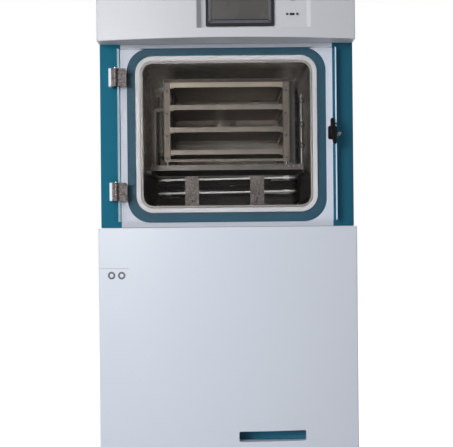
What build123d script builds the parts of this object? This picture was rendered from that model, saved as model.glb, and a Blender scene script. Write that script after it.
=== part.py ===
from build123d import *
import math
import os

# Floor-standing freeze dryer: a stainless vacuum chamber with heated product shelves above an ice
# condenser coil, closed by a thick clear acrylic door, in a cabinet with bowed front covers.
# Millimetres, +X to the right of someone facing the door, -Y towards them, +Z up.
# The origin is on the floor, at the middle of the outline seen from above.

# ---- Driving dimensions: cabinet ----
CABINET_WIDTH = 780.0
CABINET_HEIGHT = 1660.0
CROWN_Y = -510.0
BOW_DEPTH = 101.0
REAR_PANEL_Y = 450.0
PORT_REACH = 60.0
BOW_RADIUS = 1800.0
COVER_WALL = 2.5
COVER_EDGE_RADIUS = 6.0
LOWER_COVER_BOTTOM = 115.0
HEAD_HEIGHT = 273.0
WINDOW_MARGIN = 14.0
COVER_GAP = 1.0
SHEET = 1.5
FRAME_BOTTOM = 100.0
FRAME_TUBE = 40.0
FRAME_SECTION = 3.0
PLATE_THICKNESS = 2.0
SURROUND_THICKNESS = 3.0
POST_WIDTH = 63.5
POST_RETURN = 24.0
SURROUND_SHOW = 27.0
PLATE_HOLE_RADIUS = 70.0
SURROUND_HOLE_CLEARANCE = 2.0
LOUVRE_RISE = 110.0
LOUVRE_PITCH = 26.0
LOUVRE_LENGTH = 130.0
LOUVRE_HEIGHT = 8.0
LOUVRE_ROWS = 8
LOUVRE_PLACES = (60.0, 230.0)
REAR_LOUVRE_PITCH = 24.0
REAR_LOUVRE_HEIGHT = 10.0
REAR_HOOD_REACH = 8.0

# ---- Driving dimensions: vacuum chamber ----
CHAMBER_LIFT = 3.0
CHAMBER_SIDE_ROOM = 134.0
CHAMBER_HEIGHT = 436.0
CHAMBER_DEPTH = 474.0
CHAMBER_RADIUS = 30.0
CHAMBER_WALL = 6.0
FLANGE_MARGIN = 44.0
FLANGE_THICKNESS = 16.0
FLANGE_REBATE = 5.0
SEAL_LIP = 7.5
SEAL_WIDTH = 14.5
RIB_HEIGHT = 12.0
RIB_WIDTH = 30.0
RIB_PLACES = (110.0, 330.0)
SADDLE_HEIGHT = 28.0
JACKET_THICKNESS = 20.0
LEDGE_WIDTH = 15.0
LEDGE_HEIGHT = 12.0

# ---- Driving dimensions: door, hinges and latch ----
DOOR_SIDE_LAP = 30.0
DOOR_END_GAP = 3.5
DOOR_THICKNESS = 25.0
DOOR_STANDOFF = 3.5
DOOR_CORNER_RADIUS = 6.0
SEAL_CLEARANCE = 0.3
HINGE_HEIGHT = 55.0
HINGE_SPACING = 348.0
HINGE_LIFT = 2.0
HINGE_AXIS_OUTSET = 2.0
HINGE_AXIS_FORWARD = 8.5
HINGE_PIN_RADIUS = 3.0
HINGE_KNUCKLE_RADIUS = 5.0
HINGE_LEAF = 3.0
HINGE_DOOR_LEAF_WIDTH = 30.0
HINGE_POST_LEAF_WIDTH = 15.5
PIN_CLEARANCE = 0.05
PRESS_CLEARANCE = 0.02
AXIAL_CLEARANCE = 0.3
LATCH_INSET = 12.0
LATCH_LIFT = 5.0
LATCH_PLATE_WIDTH = 30.0
LATCH_PLATE_HEIGHT = 41.0
LATCH_PLATE_THICKNESS = 6.0
LATCH_SHAFT_RADIUS = 4.0
HANDLE_LENGTH = 79.0
HANDLE_WIDTH = 15.0
HANDLE_DEPTH = 15.0
HANDLE_TILT = 6.0
HANDLE_TIP_TAPER = 0.72
CAM_THICKNESS = 3.0
CAM_RADIUS = 27.0
CAM_LEAD = 14.0
CAM_TRAIL = 16.0
CAM_HUB_WALL = 4.0
STUD_OUTSET = 7.0
STUD_DROP = 6.0
STUD_RADIUS = 3.0
STUD_HEAD_RADIUS = 4.75
STUD_HEAD_THICKNESS = 3.0
STUD_CLEARANCE = 0.8

# ---- Driving dimensions: shelf rack and coil ----
RACK_FRONT_INSET = 112.0
RACK_SIDE_ROOM = 56.0
RACK_REAR_ROOM = 62.0
RACK_HEADROOM = 30.0
RACK_LIFT = 11.0
UPRIGHT_WIDTH = 20.0
SHELF_THICKNESS = 16.0
SHELF_COUNT = 4
TOP_SHELF_DROP = 27.0
BOTTOM_SHELF_RISE = 22.5
SHELF_CLEARANCE = 0.3
SHELF_RAIL = 12.0
SHELF_RAIL_WALL = 3.0
ICE_HEIGHT = 131.0
BAFFLE_LIP = 17.0
BAFFLE_SHEET = 2.0
BAFFLE_SIDE_GAP = 13.0
BAFFLE_FRONT_LAP = 6.0
BAFFLE_REAR_LAP = 20.0
HOSE_RADIUS = 6.0
HOSE_INSETS = (23.0, 40.5)
HOSE_EXIT_RISES = (12.0, 36.0)
HOSE_SETBACK = 50.0
HOSE_STAGGER = 30.0
HOSE_BEND = 14.0
LINK_SETBACK = 150.0
LINK_STAGGER = 40.0
LINK_REACH = 34.0
LINK_RADIUS = 5.0
LINK_BEND = 12.0
PROBE_INSET = 16.0
PROBE_SETBACK = 15.0
PROBE_TOP_STICK = 20.0
PROBE_RING_DEPTH = 12.0
PROBE_RING_WALL = 4.0
PROBE_ROD_RADIUS = 4.0
PROBE_SOCKET_RADIUS = 9.0
PROBE_SOCKET_RISES = (50.0, 117.0, 194.0)
DUCT_WIDTH = 20.0
DUCT_SHEET = 3.0
COIL_RADIUS = 3.3
COIL_INSET = 37.0
COIL_LIFT = 43.0
COIL_PITCH = 43.0
COIL_BEND = 22.0
COIL_RISE = 5.0
COIL_END_INSET = 60.0
LINE_STUB = 20.0
BRACKET_WIDTH = 44.0
BRACKET_X = (-112.0, 95.0)
BRACKET_LAP = 9.0
BRACKET_CLEARANCE = 0.2
BRACKET_SHEET = 2.0
BRACKET_FOOT = 24.0
BRACKET_SCREW_HEIGHT = 16.0
SCREW_HEAD_RADIUS = 3.5
SCREW_HEAD_HEIGHT = 2.5
SCREW_SHANK_RADIUS = 2.0

# ---- Driving dimensions: control head ----
RECESS_LEFT = -74.5
RECESS_RISE = 34.5
RECESS_END_GAP = 2.0
CONTROL_ROOM = 97.0
RECESS_DEPTH = 26.0
RECESS_LEFT_SLOPE = 0.5
RECESS_RIGHT_SLOPE = 1.45
RECESS_END_SLOPE = 0.25
SCREEN_WIDTH = 204.5
SCREEN_HEIGHT = 150.0
SCREEN_BEZEL = 7.0
SCREEN_BODY_DEPTH = 32.0
SCREEN_FROM_LEFT = 15.0
DISPLAY_WIDTH = 170.0
DISPLAY_HEIGHT = 117.0
DISPLAY_DEPTH = 1.0
PANEL_FIT = 1.0
USB_INSET = 43.0
USB_RISE = 37.5
USB_FLANGE_WIDTH = 40.0
USB_FLANGE_HEIGHT = 12.0
USB_SLOT_WIDTH = 14.0
USB_SLOT_HEIGHT = 6.5
USB_SCREW_SPACING = 30.0
BUTTON_INSET = 42.0
BUTTON_RISE = 92.0
BUTTON_BEZEL_RADIUS = 14.5
BUTTON_RADIUS = 10.5
BUTTON_TRAVEL = 3.0
BUTTON_CLEARANCE = 0.3
BUTTON_BODY_RADIUS = 11.0

# ---- Driving dimensions: lower cover ----
PULL_LEFT = 29.0
PULL_WIDTH = 200.0
PULL_HEIGHT = 31.0
PULL_RISE = 86.7
PULL_RADIUS = 5.0
PULL_LIP = 14.0
CATCH_RADIUS = 4.0
CATCH_REACH = 16.0
CATCH_SIDE_INSET = 65.0
CATCH_TOP_INSET = 40.0
CATCH_BOTTOM_INSET = 60.0
CATCH_BOSS = 15.0
CATCH_GROMMET_WALL = 4.0
BACKING_WINDOW_BOTTOM = 330.0
BACKING_WINDOW_DROP = 55.0
BACKING_SIDE = 110.0
LABEL_INSET = 48.5
LABEL_DROP = 141.5
LABEL_WIDTH = 89.0
LABEL_HEIGHT = 39.0
LABEL_RAISE = 0.8

# ---- Driving dimensions: castors and feet ----
CASTOR_INSET = 87.0
CASTOR_FRONT_INSET = 104.0
CASTOR_REAR_INSET = 100.0
CASTOR_PLATE_LENGTH = 72.0
CASTOR_PLATE_WIDTH = 60.0
WHEEL_RADIUS = 37.5
WHEEL_WIDTH = 24.0
WHEEL_FLOOR_GAP = 3.0
AXLE_RADIUS = 4.0
CASTOR_TRAIL = 28.0
CASTOR_PLATE = 3.0
FORK_SHEET = 3.0
FORK_GAP = 1.5
FORK_HALF_DEPTH = 23.0
KINGPIN_RADIUS = 6.0
FOOT_PAD_RADIUS = 20.0
FOOT_PAD_HEIGHT = 12.0
FOOT_STUD_RADIUS = 6.0
FOOT_INSET = 25.0
FOOT_FRONT_INSET = 24.0
FOOT_STUD_RISE = 25.0
FOOT_NUT_RADIUS = 11.0
FOOT_NUT_HEIGHT = 10.0

# ---- Driving dimensions: machinery ----
COMPRESSOR_INSET = 197.0
COMPRESSOR_Y = -60.0
COMPRESSOR_RADIUS = 105.0
COMPRESSOR_HEIGHT = 300.0
COMPRESSOR_MOUNT = 14.0
HEATER_INSET = 197.0
HEATER_Y = -110.0
HEATER_RADIUS = 95.0
HEATER_HEIGHT = 260.0
PUMP_RADIUS = 42.0
PUMP_HEIGHT = 120.0
PUMP_OFFSET = 25.0
PUMP_FINS = 8
RADIATOR_SIDE_ROOM = 180.0
RADIATOR_HEIGHT = 380.0
RADIATOR_THICKNESS = 60.0
RADIATOR_REAR_GAP = 20.0
RADIATOR_LIFT = 20.0
RADIATOR_TUBE_PITCH = 60.0
RADIATOR_TUBE_MARGIN = 30.0
FIN_PITCH = 12.0
FIN_SHEET = 1.5
RADIATOR_TUBE_RADIUS = 5.0
RADIATOR_TUBE_INSET = 18.0
SHROUD_DEPTH = 50.0
FAN_RADIUS = 160.0
FAN_HUB_RADIUS = 45.0
FAN_BLADES = 5
FAN_TIP_CLEARANCE = 5.0
FAN_SHAFT_RADIUS = 6.0
MOTOR_RADIUS = 48.0
MOTOR_LENGTH = 70.0
PIPE_RADIUS = 6.0
PIPE_BEND = 15.0
DISCHARGE_OFFSET = 40.0
DISCHARGE_RISE = 36.0
SUCTION_OFFSET = 45.0
SUCTION_REACH = 60.0
SUCTION_LOW_DROP = 120.0
SUCTION_HIGH_DROP = 60.0
BOX_WIDTH = 90.0
BOX_HEIGHT = 240.0
BOX_DEPTH = 90.0
PORT_RADIUS = 19.0
PORT_WALL = 3.0
PORT_FLANGE_RADIUS = 27.5
PORT_FLANGE_THICKNESS = 8.0
PORT_SEAT_RADIUS = 20.6
PORT_SEAT_DEPTH = 3.0
PORT_RISE = 71.0
DRAIN_X = 120.0
DRAIN_RADIUS = 8.0
DRAIN_WALL = 2.0
DRAIN_DROP = 100.0
DRAIN_SETBACK = 60.0
DRAIN_BEND = 40.0
SPIGOT_LENGTH = 22.0
VALVE_RADIUS = 14.0
VALVE_LENGTH = 34.0
LEVER_LENGTH = 70.0
LEVER_WIDTH = 12.0
STEM_RADIUS = 3.0
STEM_HEIGHT = 6.0
INLET_INSET = 100.0
INLET_Z = 230.0
INLET_WIDTH = 50.0
INLET_HEIGHT = 40.0
INLET_LAP = 4.0

# ---- Worked-out places ----
FACE_Y = CROWN_Y + BOW_DEPTH
HALF_WIDTH = CABINET_WIDTH / 2
CHAMBER_WIDTH = CABINET_WIDTH - 2 * CHAMBER_SIDE_ROOM
SEAL_MARGIN = SEAL_LIP + SEAL_WIDTH
SEAL_INNER_WIDTH = CHAMBER_WIDTH + 2 * SEAL_LIP
SEAL_INNER_HEIGHT = CHAMBER_HEIGHT + 2 * SEAL_LIP
SEAL_INNER_RADIUS = CHAMBER_RADIUS + SEAL_LIP
SEAL_OUTER_WIDTH = CHAMBER_WIDTH + 2 * SEAL_MARGIN
SEAL_OUTER_HEIGHT = CHAMBER_HEIGHT + 2 * SEAL_MARGIN
SEAL_OUTER_RADIUS = CHAMBER_RADIUS + SEAL_MARGIN
PLATE_HOLE_WIDTH = SEAL_OUTER_WIDTH + 2 * SURROUND_SHOW
PLATE_HOLE_HEIGHT = SEAL_OUTER_HEIGHT + 2 * SURROUND_SHOW
WINDOW_BAND_TOP = CABINET_HEIGHT - HEAD_HEIGHT
WINDOW_BAND_BOTTOM = WINDOW_BAND_TOP - PLATE_HOLE_HEIGHT - 2 * WINDOW_MARGIN
DOOR_CENTRE_Z = (WINDOW_BAND_TOP + WINDOW_BAND_BOTTOM) / 2
CHAMBER_CENTRE_Z = DOOR_CENTRE_Z + CHAMBER_LIFT
FRAME_HALF = HALF_WIDTH - COVER_WALL - 0.5
PANEL_FACE = FRAME_HALF + SHEET
FRAME_TOP = CABINET_HEIGHT - COVER_WALL
FRAME_FRONT_Y = FACE_Y + PLATE_THICKNESS + SURROUND_THICKNESS
FLOOR_PAN_Z = FRAME_BOTTOM + FRAME_TUBE
POST_INNER = PANEL_FACE - POST_WIDTH
COVER_BACK_Y = FACE_Y - 2 * COVER_GAP
COVER_TOP_Z = WINDOW_BAND_BOTTOM - COVER_GAP
SIDE_FRONT_Y = FACE_Y + POST_RETURN
BOW_CENTRE_Y = CROWN_Y + BOW_RADIUS
CHAMBER_BACK_Y = FACE_Y + CHAMBER_DEPTH
CHAMBER_BOTTOM = CHAMBER_CENTRE_Z - CHAMBER_HEIGHT / 2
CHAMBER_TOP = CHAMBER_CENTRE_Z + CHAMBER_HEIGHT / 2
REBATE_Y = FACE_Y + FLANGE_REBATE
FLANGE_WIDTH = CHAMBER_WIDTH + 2 * FLANGE_MARGIN
FLANGE_HEIGHT = CHAMBER_HEIGHT + 2 * FLANGE_MARGIN
RIB_OUTER_BOTTOM = CHAMBER_BOTTOM - CHAMBER_WALL - RIB_HEIGHT
CRADLE_Z = RIB_OUTER_BOTTOM - SADDLE_HEIGHT
DOOR_WIDTH = PLATE_HOLE_WIDTH + 2 * DOOR_SIDE_LAP
DOOR_HEIGHT = PLATE_HOLE_HEIGHT - 2 * DOOR_END_GAP
DOOR_BACK_Y = FACE_Y - DOOR_STANDOFF
DOOR_FRONT_Y = DOOR_BACK_Y - DOOR_THICKNESS
DOOR_LEFT = -DOOR_WIDTH / 2
HINGE_X = DOOR_LEFT - HINGE_AXIS_OUTSET
HINGE_Y = DOOR_FRONT_Y - HINGE_AXIS_FORWARD
HINGE_CENTRE_Z = DOOR_CENTRE_Z + HINGE_LIFT
HINGE_PLACES = (HINGE_CENTRE_Z - HINGE_SPACING / 2, HINGE_CENTRE_Z + HINGE_SPACING / 2)
KNUCKLE = HINGE_HEIGHT / 3
LATCH_X = DOOR_WIDTH / 2 - LATCH_INSET
LATCH_Z = DOOR_CENTRE_Z + LATCH_LIFT
STUD_X = DOOR_WIDTH / 2 + STUD_OUTSET
STUD_Z = LATCH_Z - STUD_DROP
LATCH_FACE_Y = DOOR_FRONT_Y - LATCH_PLATE_THICKNESS
CAM_BACK_Y = LATCH_FACE_Y - AXIAL_CLEARANCE
CAM_FACE_Y = CAM_BACK_Y - CAM_THICKNESS
STUD_HEAD_Y = CAM_FACE_Y - AXIAL_CLEARANCE
HANDLE_BACK_Y = STUD_HEAD_Y - STUD_HEAD_THICKNESS - 2 * AXIAL_CLEARANCE
RACK_FRONT_Y = FACE_Y + RACK_FRONT_INSET
RACK_BACK_Y = CHAMBER_BACK_Y - RACK_REAR_ROOM
RACK_WIDTH = CHAMBER_WIDTH - 2 * RACK_SIDE_ROOM
RACK_TOP = CHAMBER_TOP - RACK_HEADROOM
BAFFLE_TOP = CHAMBER_BOTTOM + ICE_HEIGHT
BAFFLE_WIDTH = CHAMBER_WIDTH - 2 * BAFFLE_SIDE_GAP
RACK_BOTTOM = BAFFLE_TOP + RACK_LIFT
TOP_SHELF_Z = RACK_TOP - TOP_SHELF_DROP
SHELF_PITCH = (TOP_SHELF_Z - RACK_BOTTOM - BOTTOM_SHELF_RISE) / (SHELF_COUNT - 1)
SHELF_WIDTH = RACK_WIDTH - 2 * UPRIGHT_WIDTH
SHELF_PLACES = [TOP_SHELF_Z - i * SHELF_PITCH for i in range(SHELF_COUNT)]
BAFFLE_FLOOR = BAFFLE_TOP - BAFFLE_LIP
HOSE_X = [inset - CHAMBER_WIDTH / 2 for inset in HOSE_INSETS]
PROBE_X = CHAMBER_WIDTH / 2 - PROBE_INSET
PROBE_SOCKET_Z = [RACK_BOTTOM + rise for rise in PROBE_SOCKET_RISES]
COIL_FRONT_Y = RACK_FRONT_Y
COIL_BACK_Y = RACK_BACK_Y
COIL_HALF_WIDTH = CHAMBER_WIDTH / 2 - COIL_INSET
COIL_END_X = COIL_HALF_WIDTH - COIL_END_INSET
COIL_BOTTOM = CHAMBER_BOTTOM + COIL_LIFT
BRACKET_TOP = COIL_BOTTOM + COIL_PITCH + BRACKET_LAP
LINE_END_Y = CHAMBER_BACK_Y + CHAMBER_WALL + JACKET_THICKNESS + LINE_STUB
DRAIN_Y = CHAMBER_BACK_Y - DRAIN_SETBACK
DRAIN_OUTLET_Z = CRADLE_Z - DRAIN_DROP
PORT_Z = CHAMBER_CENTRE_Z + PORT_RISE
RECESS_BOTTOM = WINDOW_BAND_TOP + RECESS_RISE
RECESS_TOP = RECESS_BOTTOM + SCREEN_HEIGHT + 2 * RECESS_END_GAP
RECESS_RIGHT = RECESS_LEFT + SCREEN_FROM_LEFT + SCREEN_WIDTH + CONTROL_ROOM
USB_X = RECESS_RIGHT - USB_INSET
USB_Z = RECESS_BOTTOM + USB_RISE
BUTTON_X = RECESS_RIGHT - BUTTON_INSET
BUTTON_Z = RECESS_BOTTOM + BUTTON_RISE
RECESS_FLOOR_Y = CROWN_Y + RECESS_DEPTH
SCREEN_X = RECESS_LEFT + SCREEN_FROM_LEFT + SCREEN_WIDTH / 2
SCREEN_Z = (RECESS_BOTTOM + RECESS_TOP) / 2
PULL_X = PULL_LEFT + PULL_WIDTH / 2
PULL_CENTRE_Z = LOWER_COVER_BOTTOM + PULL_RISE
CATCH_X = HALF_WIDTH - CATCH_SIDE_INSET
BACKING_WINDOW_TOP = WINDOW_BAND_BOTTOM - BACKING_WINDOW_DROP
BACKING_WINDOW_WIDTH = CABINET_WIDTH - 2 * BACKING_SIDE
LABEL_X = LABEL_INSET - HALF_WIDTH
LABEL_Z = COVER_TOP_Z - LABEL_DROP
CASTOR_X = FRAME_HALF - CASTOR_INSET
CASTOR_FRONT_Y = FRAME_FRONT_Y + CASTOR_FRONT_INSET
CASTOR_REAR_Y = REAR_PANEL_Y - CASTOR_REAR_INSET
FOOT_X = FRAME_HALF - FOOT_INSET
FOOT_FRONT_Y = FRAME_FRONT_Y + FOOT_FRONT_INSET
FOOT_REAR_Y = REAR_PANEL_Y - FOOT_INSET
INLET_X = INLET_INSET - HALF_WIDTH
COMPRESSOR_X = COMPRESSOR_INSET - FRAME_HALF
HEATER_X = FRAME_HALF - HEATER_INSET
WHEEL_AXIS_Z = WHEEL_FLOOR_GAP + WHEEL_RADIUS
FORK_TOP = FRAME_BOTTOM - CASTOR_PLATE - AXIAL_CLEARANCE
RADIATOR_WIDTH = CABINET_WIDTH - 2 * RADIATOR_SIDE_ROOM
RADIATOR_Y = REAR_PANEL_Y - RADIATOR_REAR_GAP - RADIATOR_THICKNESS
RADIATOR_Z = FLOOR_PAN_Z + RADIATOR_LIFT + RADIATOR_HEIGHT / 2
SHROUD_Y = RADIATOR_Y - SHROUD_DEPTH
VALVE_Y = REAR_PANEL_Y + SHEET + 2.0


# ---- Shared helpers ----
def span(x0, x1, y0, y1, z0, z1):
    """A block between two corners."""
    block = Box(abs(x1 - x0), abs(y1 - y0), abs(z1 - z0))
    return Pos((x0 + x1) / 2, (y0 + y1) / 2, (z0 + z1) / 2) * block


def front_plate_shape(width, height, radius, z, y0, y1, x=0.0):
    """A rounded rectangle facing the front, from depth y0 back to depth y1."""
    outline = RectangleRounded(width, height, radius)
    face = Plane(origin=(x, y0, z), x_dir=(1, 0, 0), z_dir=(0, -1, 0)) * outline
    return extrude(face, amount=y0 - y1)


def rod_y(radius, y0, y1, x, z):
    """A round bar along Y."""
    face = Plane(origin=(x, y0, z), x_dir=(1, 0, 0), z_dir=(0, 1, 0)) * Circle(radius)
    return extrude(face, amount=y1 - y0)


def rod_x(radius, x0, x1, y, z):
    """A round bar along X."""
    face = Plane(origin=(x0, y, z), x_dir=(0, 1, 0), z_dir=(1, 0, 0)) * Circle(radius)
    return extrude(face, amount=x1 - x0)


def rod_z(radius, z0, z1, x, y):
    """A round bar along Z."""
    return extrude(Pos(x, y, z0) * Circle(radius), amount=z1 - z0)


def pipe(points, bend, radius, bore=0.0):
    """A bent tube through the points, solid unless it has a bore."""
    path = FilletPolyline(*points, radius=bend)
    section = Circle(radius)
    if bore:
        section = section - Circle(bore)
    return sweep(Plane(origin=path @ 0, z_dir=path % 0) * section, path=path)


def bowed_block(half_width, bow_radius, back_y, z0, z1):
    """The solid outline of a cover, flat at the back and bowed at the front."""
    depth = 2 * (back_y - CROWN_Y)
    outline = Pos(0, back_y - depth / 2) * Rectangle(2 * half_width, depth)
    bow = Pos(0, BOW_CENTRE_Y) * Circle(bow_radius)
    return extrude(Pos(0, 0, z0) * (outline & bow), amount=z1 - z0)


def rounded_front(block, back_y):
    """Rounds a cover's upright front corners and its bowed front rim."""
    corners = [e for e in block.edges().filter_by(Axis.Z) if e.center().Y < back_y - 1]
    block = fillet(corners, COVER_EDGE_RADIUS)
    rims = [e for e in block.edges() if abs(e.tangent_at(0.5).Z) < 0.01]
    rims = [e for e in rims if e.bounding_box().min.Y < back_y - 1 and e.bounding_box().size.Z < 1]
    rims = [e for e in rims if e.bounding_box().size.Y > 0.01 and e.center().Y < CROWN_Y + 50]
    return fillet(rims, COVER_WALL)


def mirrored(shape):
    """The shape and its twin on the other side of the cabinet."""
    return shape + mirror(shape, about=Plane.YZ)


def pan_screw(x, y, z, length):
    """A pan-head screw driven in from the front at depth y."""
    head = rod_y(SCREW_HEAD_RADIUS, y - SCREW_HEAD_HEIGHT, y, x, z)
    rim = head.edges().filter_by(GeomType.CIRCLE).sort_by(Axis.Y)[0]
    head = fillet(rim, 1.0)
    return head + rod_y(SCREW_SHANK_RADIUS, y, y + length, x, z)


# ---- Cabinet frame ----
def main_frame():
    """Welded frame: base channels with a floor pan, corner angles, chamber cradle and top ring."""
    t = FRAME_TUBE
    w = FRAME_SECTION
    front = FRAME_FRONT_Y
    rear = REAR_PANEL_Y
    x = FRAME_HALF
    ring = span(-x, x, front, rear, FRAME_BOTTOM, FLOOR_PAN_Z)
    ring -= span(-x + t, x - t, front + t, rear - t, FRAME_BOTTOM, FLOOR_PAN_Z)
    groove = span(-x + w, x - w, front + w, rear - w, FRAME_BOTTOM + w, FLOOR_PAN_Z - w)
    ring -= groove
    frame = ring + span(-x + w, x - w, front + w, rear - w, FLOOR_PAN_Z - w, FLOOR_PAN_Z)
    for y in (CASTOR_FRONT_Y, CASTOR_REAR_Y):
        gusset = span(CASTOR_X - t, x - w, y - t, y + t, FRAME_BOTTOM, FRAME_BOTTOM + w)
        frame += mirrored(gusset)
    for y0, y1 in ((front, front + t), (rear, rear - t)):
        angle = span(x - t, x, y0, y1, FLOOR_PAN_Z, FRAME_TOP)
        back = w if y1 > y0 else -w
        angle -= span(x - t, x - w, y0 + back, y1, FLOOR_PAN_Z, FRAME_TOP)
        frame += mirrored(angle)
    top = span(-x, x, front, rear, FRAME_TOP - t, FRAME_TOP)
    top -= span(-x + w, x - w, front + w, rear - w, FRAME_TOP - t, FRAME_TOP)
    frame += top
    cradle = span(-x, x, front, rear, CRADLE_Z - t, CRADLE_Z)
    cradle -= span(-x + t, x - t, front + t, rear - t, CRADLE_Z - t, CRADLE_Z)
    cradle -= span(-x + w, x - w, front + w, rear - w, CRADLE_Z - t, CRADLE_Z - w)
    frame += cradle
    for fx in (-FOOT_X, FOOT_X):
        for fy in (FOOT_FRONT_Y, FOOT_REAR_Y):
            hole = rod_z(FOOT_STUD_RADIUS + 0.5, FRAME_BOTTOM - 1, FRAME_BOTTOM + w + 1, fx, fy)
            frame -= hole
    return frame


def side_panel(side):
    """Folded side sheet with ventilation louvres low down towards the rear."""
    x0 = side * FRAME_HALF
    x1 = side * PANEL_FACE
    panel = span(x0, x1, SIDE_FRONT_Y + COVER_GAP, REAR_PANEL_Y, FRAME_BOTTOM, FRAME_TOP)
    for row in range(LOUVRE_ROWS):
        z = FLOOR_PAN_Z + LOUVRE_RISE + row * LOUVRE_PITCH
        for y in LOUVRE_PLACES:
            slot = span(x0 - 2 * side, x1 + 2 * side, y, y + LOUVRE_LENGTH, z, z + LOUVRE_HEIGHT)
            slot = fillet(slot.edges().filter_by(Axis.X), LOUVRE_HEIGHT / 2 - 0.1)
            panel -= slot
    return panel


def rear_panel():
    """Rear sheet with hooded louvres behind the radiator and holes for the services."""
    y0 = REAR_PANEL_Y
    y1 = y0 + SHEET
    panel = span(-PANEL_FACE, PANEL_FACE, y0, y1, FRAME_BOTTOM, FRAME_TOP)
    rows = int(RADIATOR_HEIGHT // REAR_LOUVRE_PITCH)
    h = REAR_LOUVRE_HEIGHT
    reach = REAR_HOOD_REACH
    for row in range(rows):
        z = RADIATOR_Z - RADIATOR_HEIGHT / 2 + h + row * REAR_LOUVRE_PITCH
        panel -= span(-RADIATOR_WIDTH / 2, RADIATOR_WIDTH / 2, y0 - 1, y1 + 1, z, z + h)
        lip = y1 + reach
        hood = Polyline((y1, z + h), (y1, z + 1.6 * h), (lip, z + 2), (lip - SHEET, z), close=True)
        hood = Plane.YZ.offset(-RADIATOR_WIDTH / 2) * make_face(hood)
        panel += extrude(hood, amount=RADIATOR_WIDTH)
    panel -= rod_y(PORT_RADIUS + PORT_WALL + 1, y0 - 1, y1 + 1, 0, PORT_Z)
    panel -= rod_y(DRAIN_RADIUS + DRAIN_WALL + 1, y0 - 1, y1 + 1, DRAIN_X, DRAIN_OUTLET_Z)
    w = INLET_WIDTH / 2 - INLET_LAP
    h = INLET_HEIGHT / 2 - INLET_LAP
    panel -= span(INLET_X - w, INLET_X + w, y0 - 1, y1 + 1, INLET_Z - h, INLET_Z + h)
    return panel


def top_panel():
    """Flat lid sheet behind the head cover, with a shallow stiffening ridge."""
    z1 = CABINET_HEIGHT
    lid = span(-PANEL_FACE, PANEL_FACE, SIDE_FRONT_Y + COVER_GAP, REAR_PANEL_Y + SHEET, FRAME_TOP, z1)
    edges = [e for e in lid.edges().filter_by(Axis.Z) if e.center().Y > 0]
    return fillet(edges, 4)


# ---- Front covers and fascia ----
def recess_frustum(grow):
    """The tapered control recess, or the tub around it when grown by a wall."""
    mouth_y = CROWN_Y - 4
    floor_y = RECESS_FLOOR_Y + grow
    rise = RECESS_DEPTH + 4
    left = RECESS_LEFT - grow
    right = RECESS_RIGHT + grow
    low = RECESS_BOTTOM - grow
    high = RECESS_TOP + grow
    floor = Pos((left + right) / 2, (low + high) / 2) * Rectangle(right - left, high - low)
    mouth_left = left - rise * RECESS_LEFT_SLOPE
    mouth_right = right + rise * RECESS_RIGHT_SLOPE
    mouth_low = low - rise * RECESS_END_SLOPE
    mouth_high = high + rise * RECESS_END_SLOPE
    mouth = Rectangle(mouth_right - mouth_left, mouth_high - mouth_low)
    mouth = Pos((mouth_left + mouth_right) / 2, (mouth_low + mouth_high) / 2) * mouth
    floor_plane = Plane(origin=(0, floor_y, 0), x_dir=(1, 0, 0), z_dir=(0, -1, 0))
    mouth_plane = Plane(origin=(0, mouth_y, 0), x_dir=(1, 0, 0), z_dir=(0, -1, 0))
    return loft([floor_plane * floor, mouth_plane * mouth])


def head_cover():
    """Bowed upper shell with the bevelled recess that holds the controls."""
    z0 = WINDOW_BAND_TOP
    z1 = CABINET_HEIGHT
    w = COVER_WALL
    back = SIDE_FRONT_Y
    outer = rounded_front(bowed_block(HALF_WIDTH, BOW_RADIUS, back, z0, z1), back)
    inner = bowed_block(HALF_WIDTH - w, BOW_RADIUS - w, back, z0 + w, z1 - w)
    inner += span(-HALF_WIDTH + w, HALF_WIDTH - w, FACE_Y, back + 1, z0 - 1, z0 + w + 1)
    tub = recess_frustum(w) & outer
    shell = outer - inner + tub - recess_frustum(0)
    fit = PANEL_FIT / 2
    body_w = (SCREEN_WIDTH - 2 * SCREEN_BEZEL) / 2 + fit
    body_h = (SCREEN_HEIGHT - 2 * SCREEN_BEZEL) / 2 + fit
    y0 = RECESS_FLOOR_Y - 1
    y1 = RECESS_FLOOR_Y + w + 1
    shell -= span(SCREEN_X - body_w, SCREEN_X + body_w, y0, y1, SCREEN_Z - body_h, SCREEN_Z + body_h)
    half_w = USB_SLOT_WIDTH / 2 + 2 + fit
    half_h = USB_SLOT_HEIGHT / 2 + 1.5 + fit
    shell -= span(USB_X - half_w, USB_X + half_w, y0, y1, USB_Z - half_h, USB_Z + half_h)
    shell -= rod_y(BUTTON_BODY_RADIUS + fit, y0, y1, BUTTON_X, BUTTON_Z)
    for x in (USB_X - USB_SCREW_SPACING / 2, USB_X + USB_SCREW_SPACING / 2):
        shell -= rod_y(SCREW_SHANK_RADIUS + PRESS_CLEARANCE, y0, y1, x, USB_Z)
    return shell


def catch_places():
    """Where the four catch studs of the lower cover sit, as (x, z)."""
    low = LOWER_COVER_BOTTOM + CATCH_BOTTOM_INSET
    high = COVER_TOP_Z - CATCH_TOP_INSET
    return [(x, z) for x in (-CATCH_X, CATCH_X) for z in (low, high)]


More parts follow.
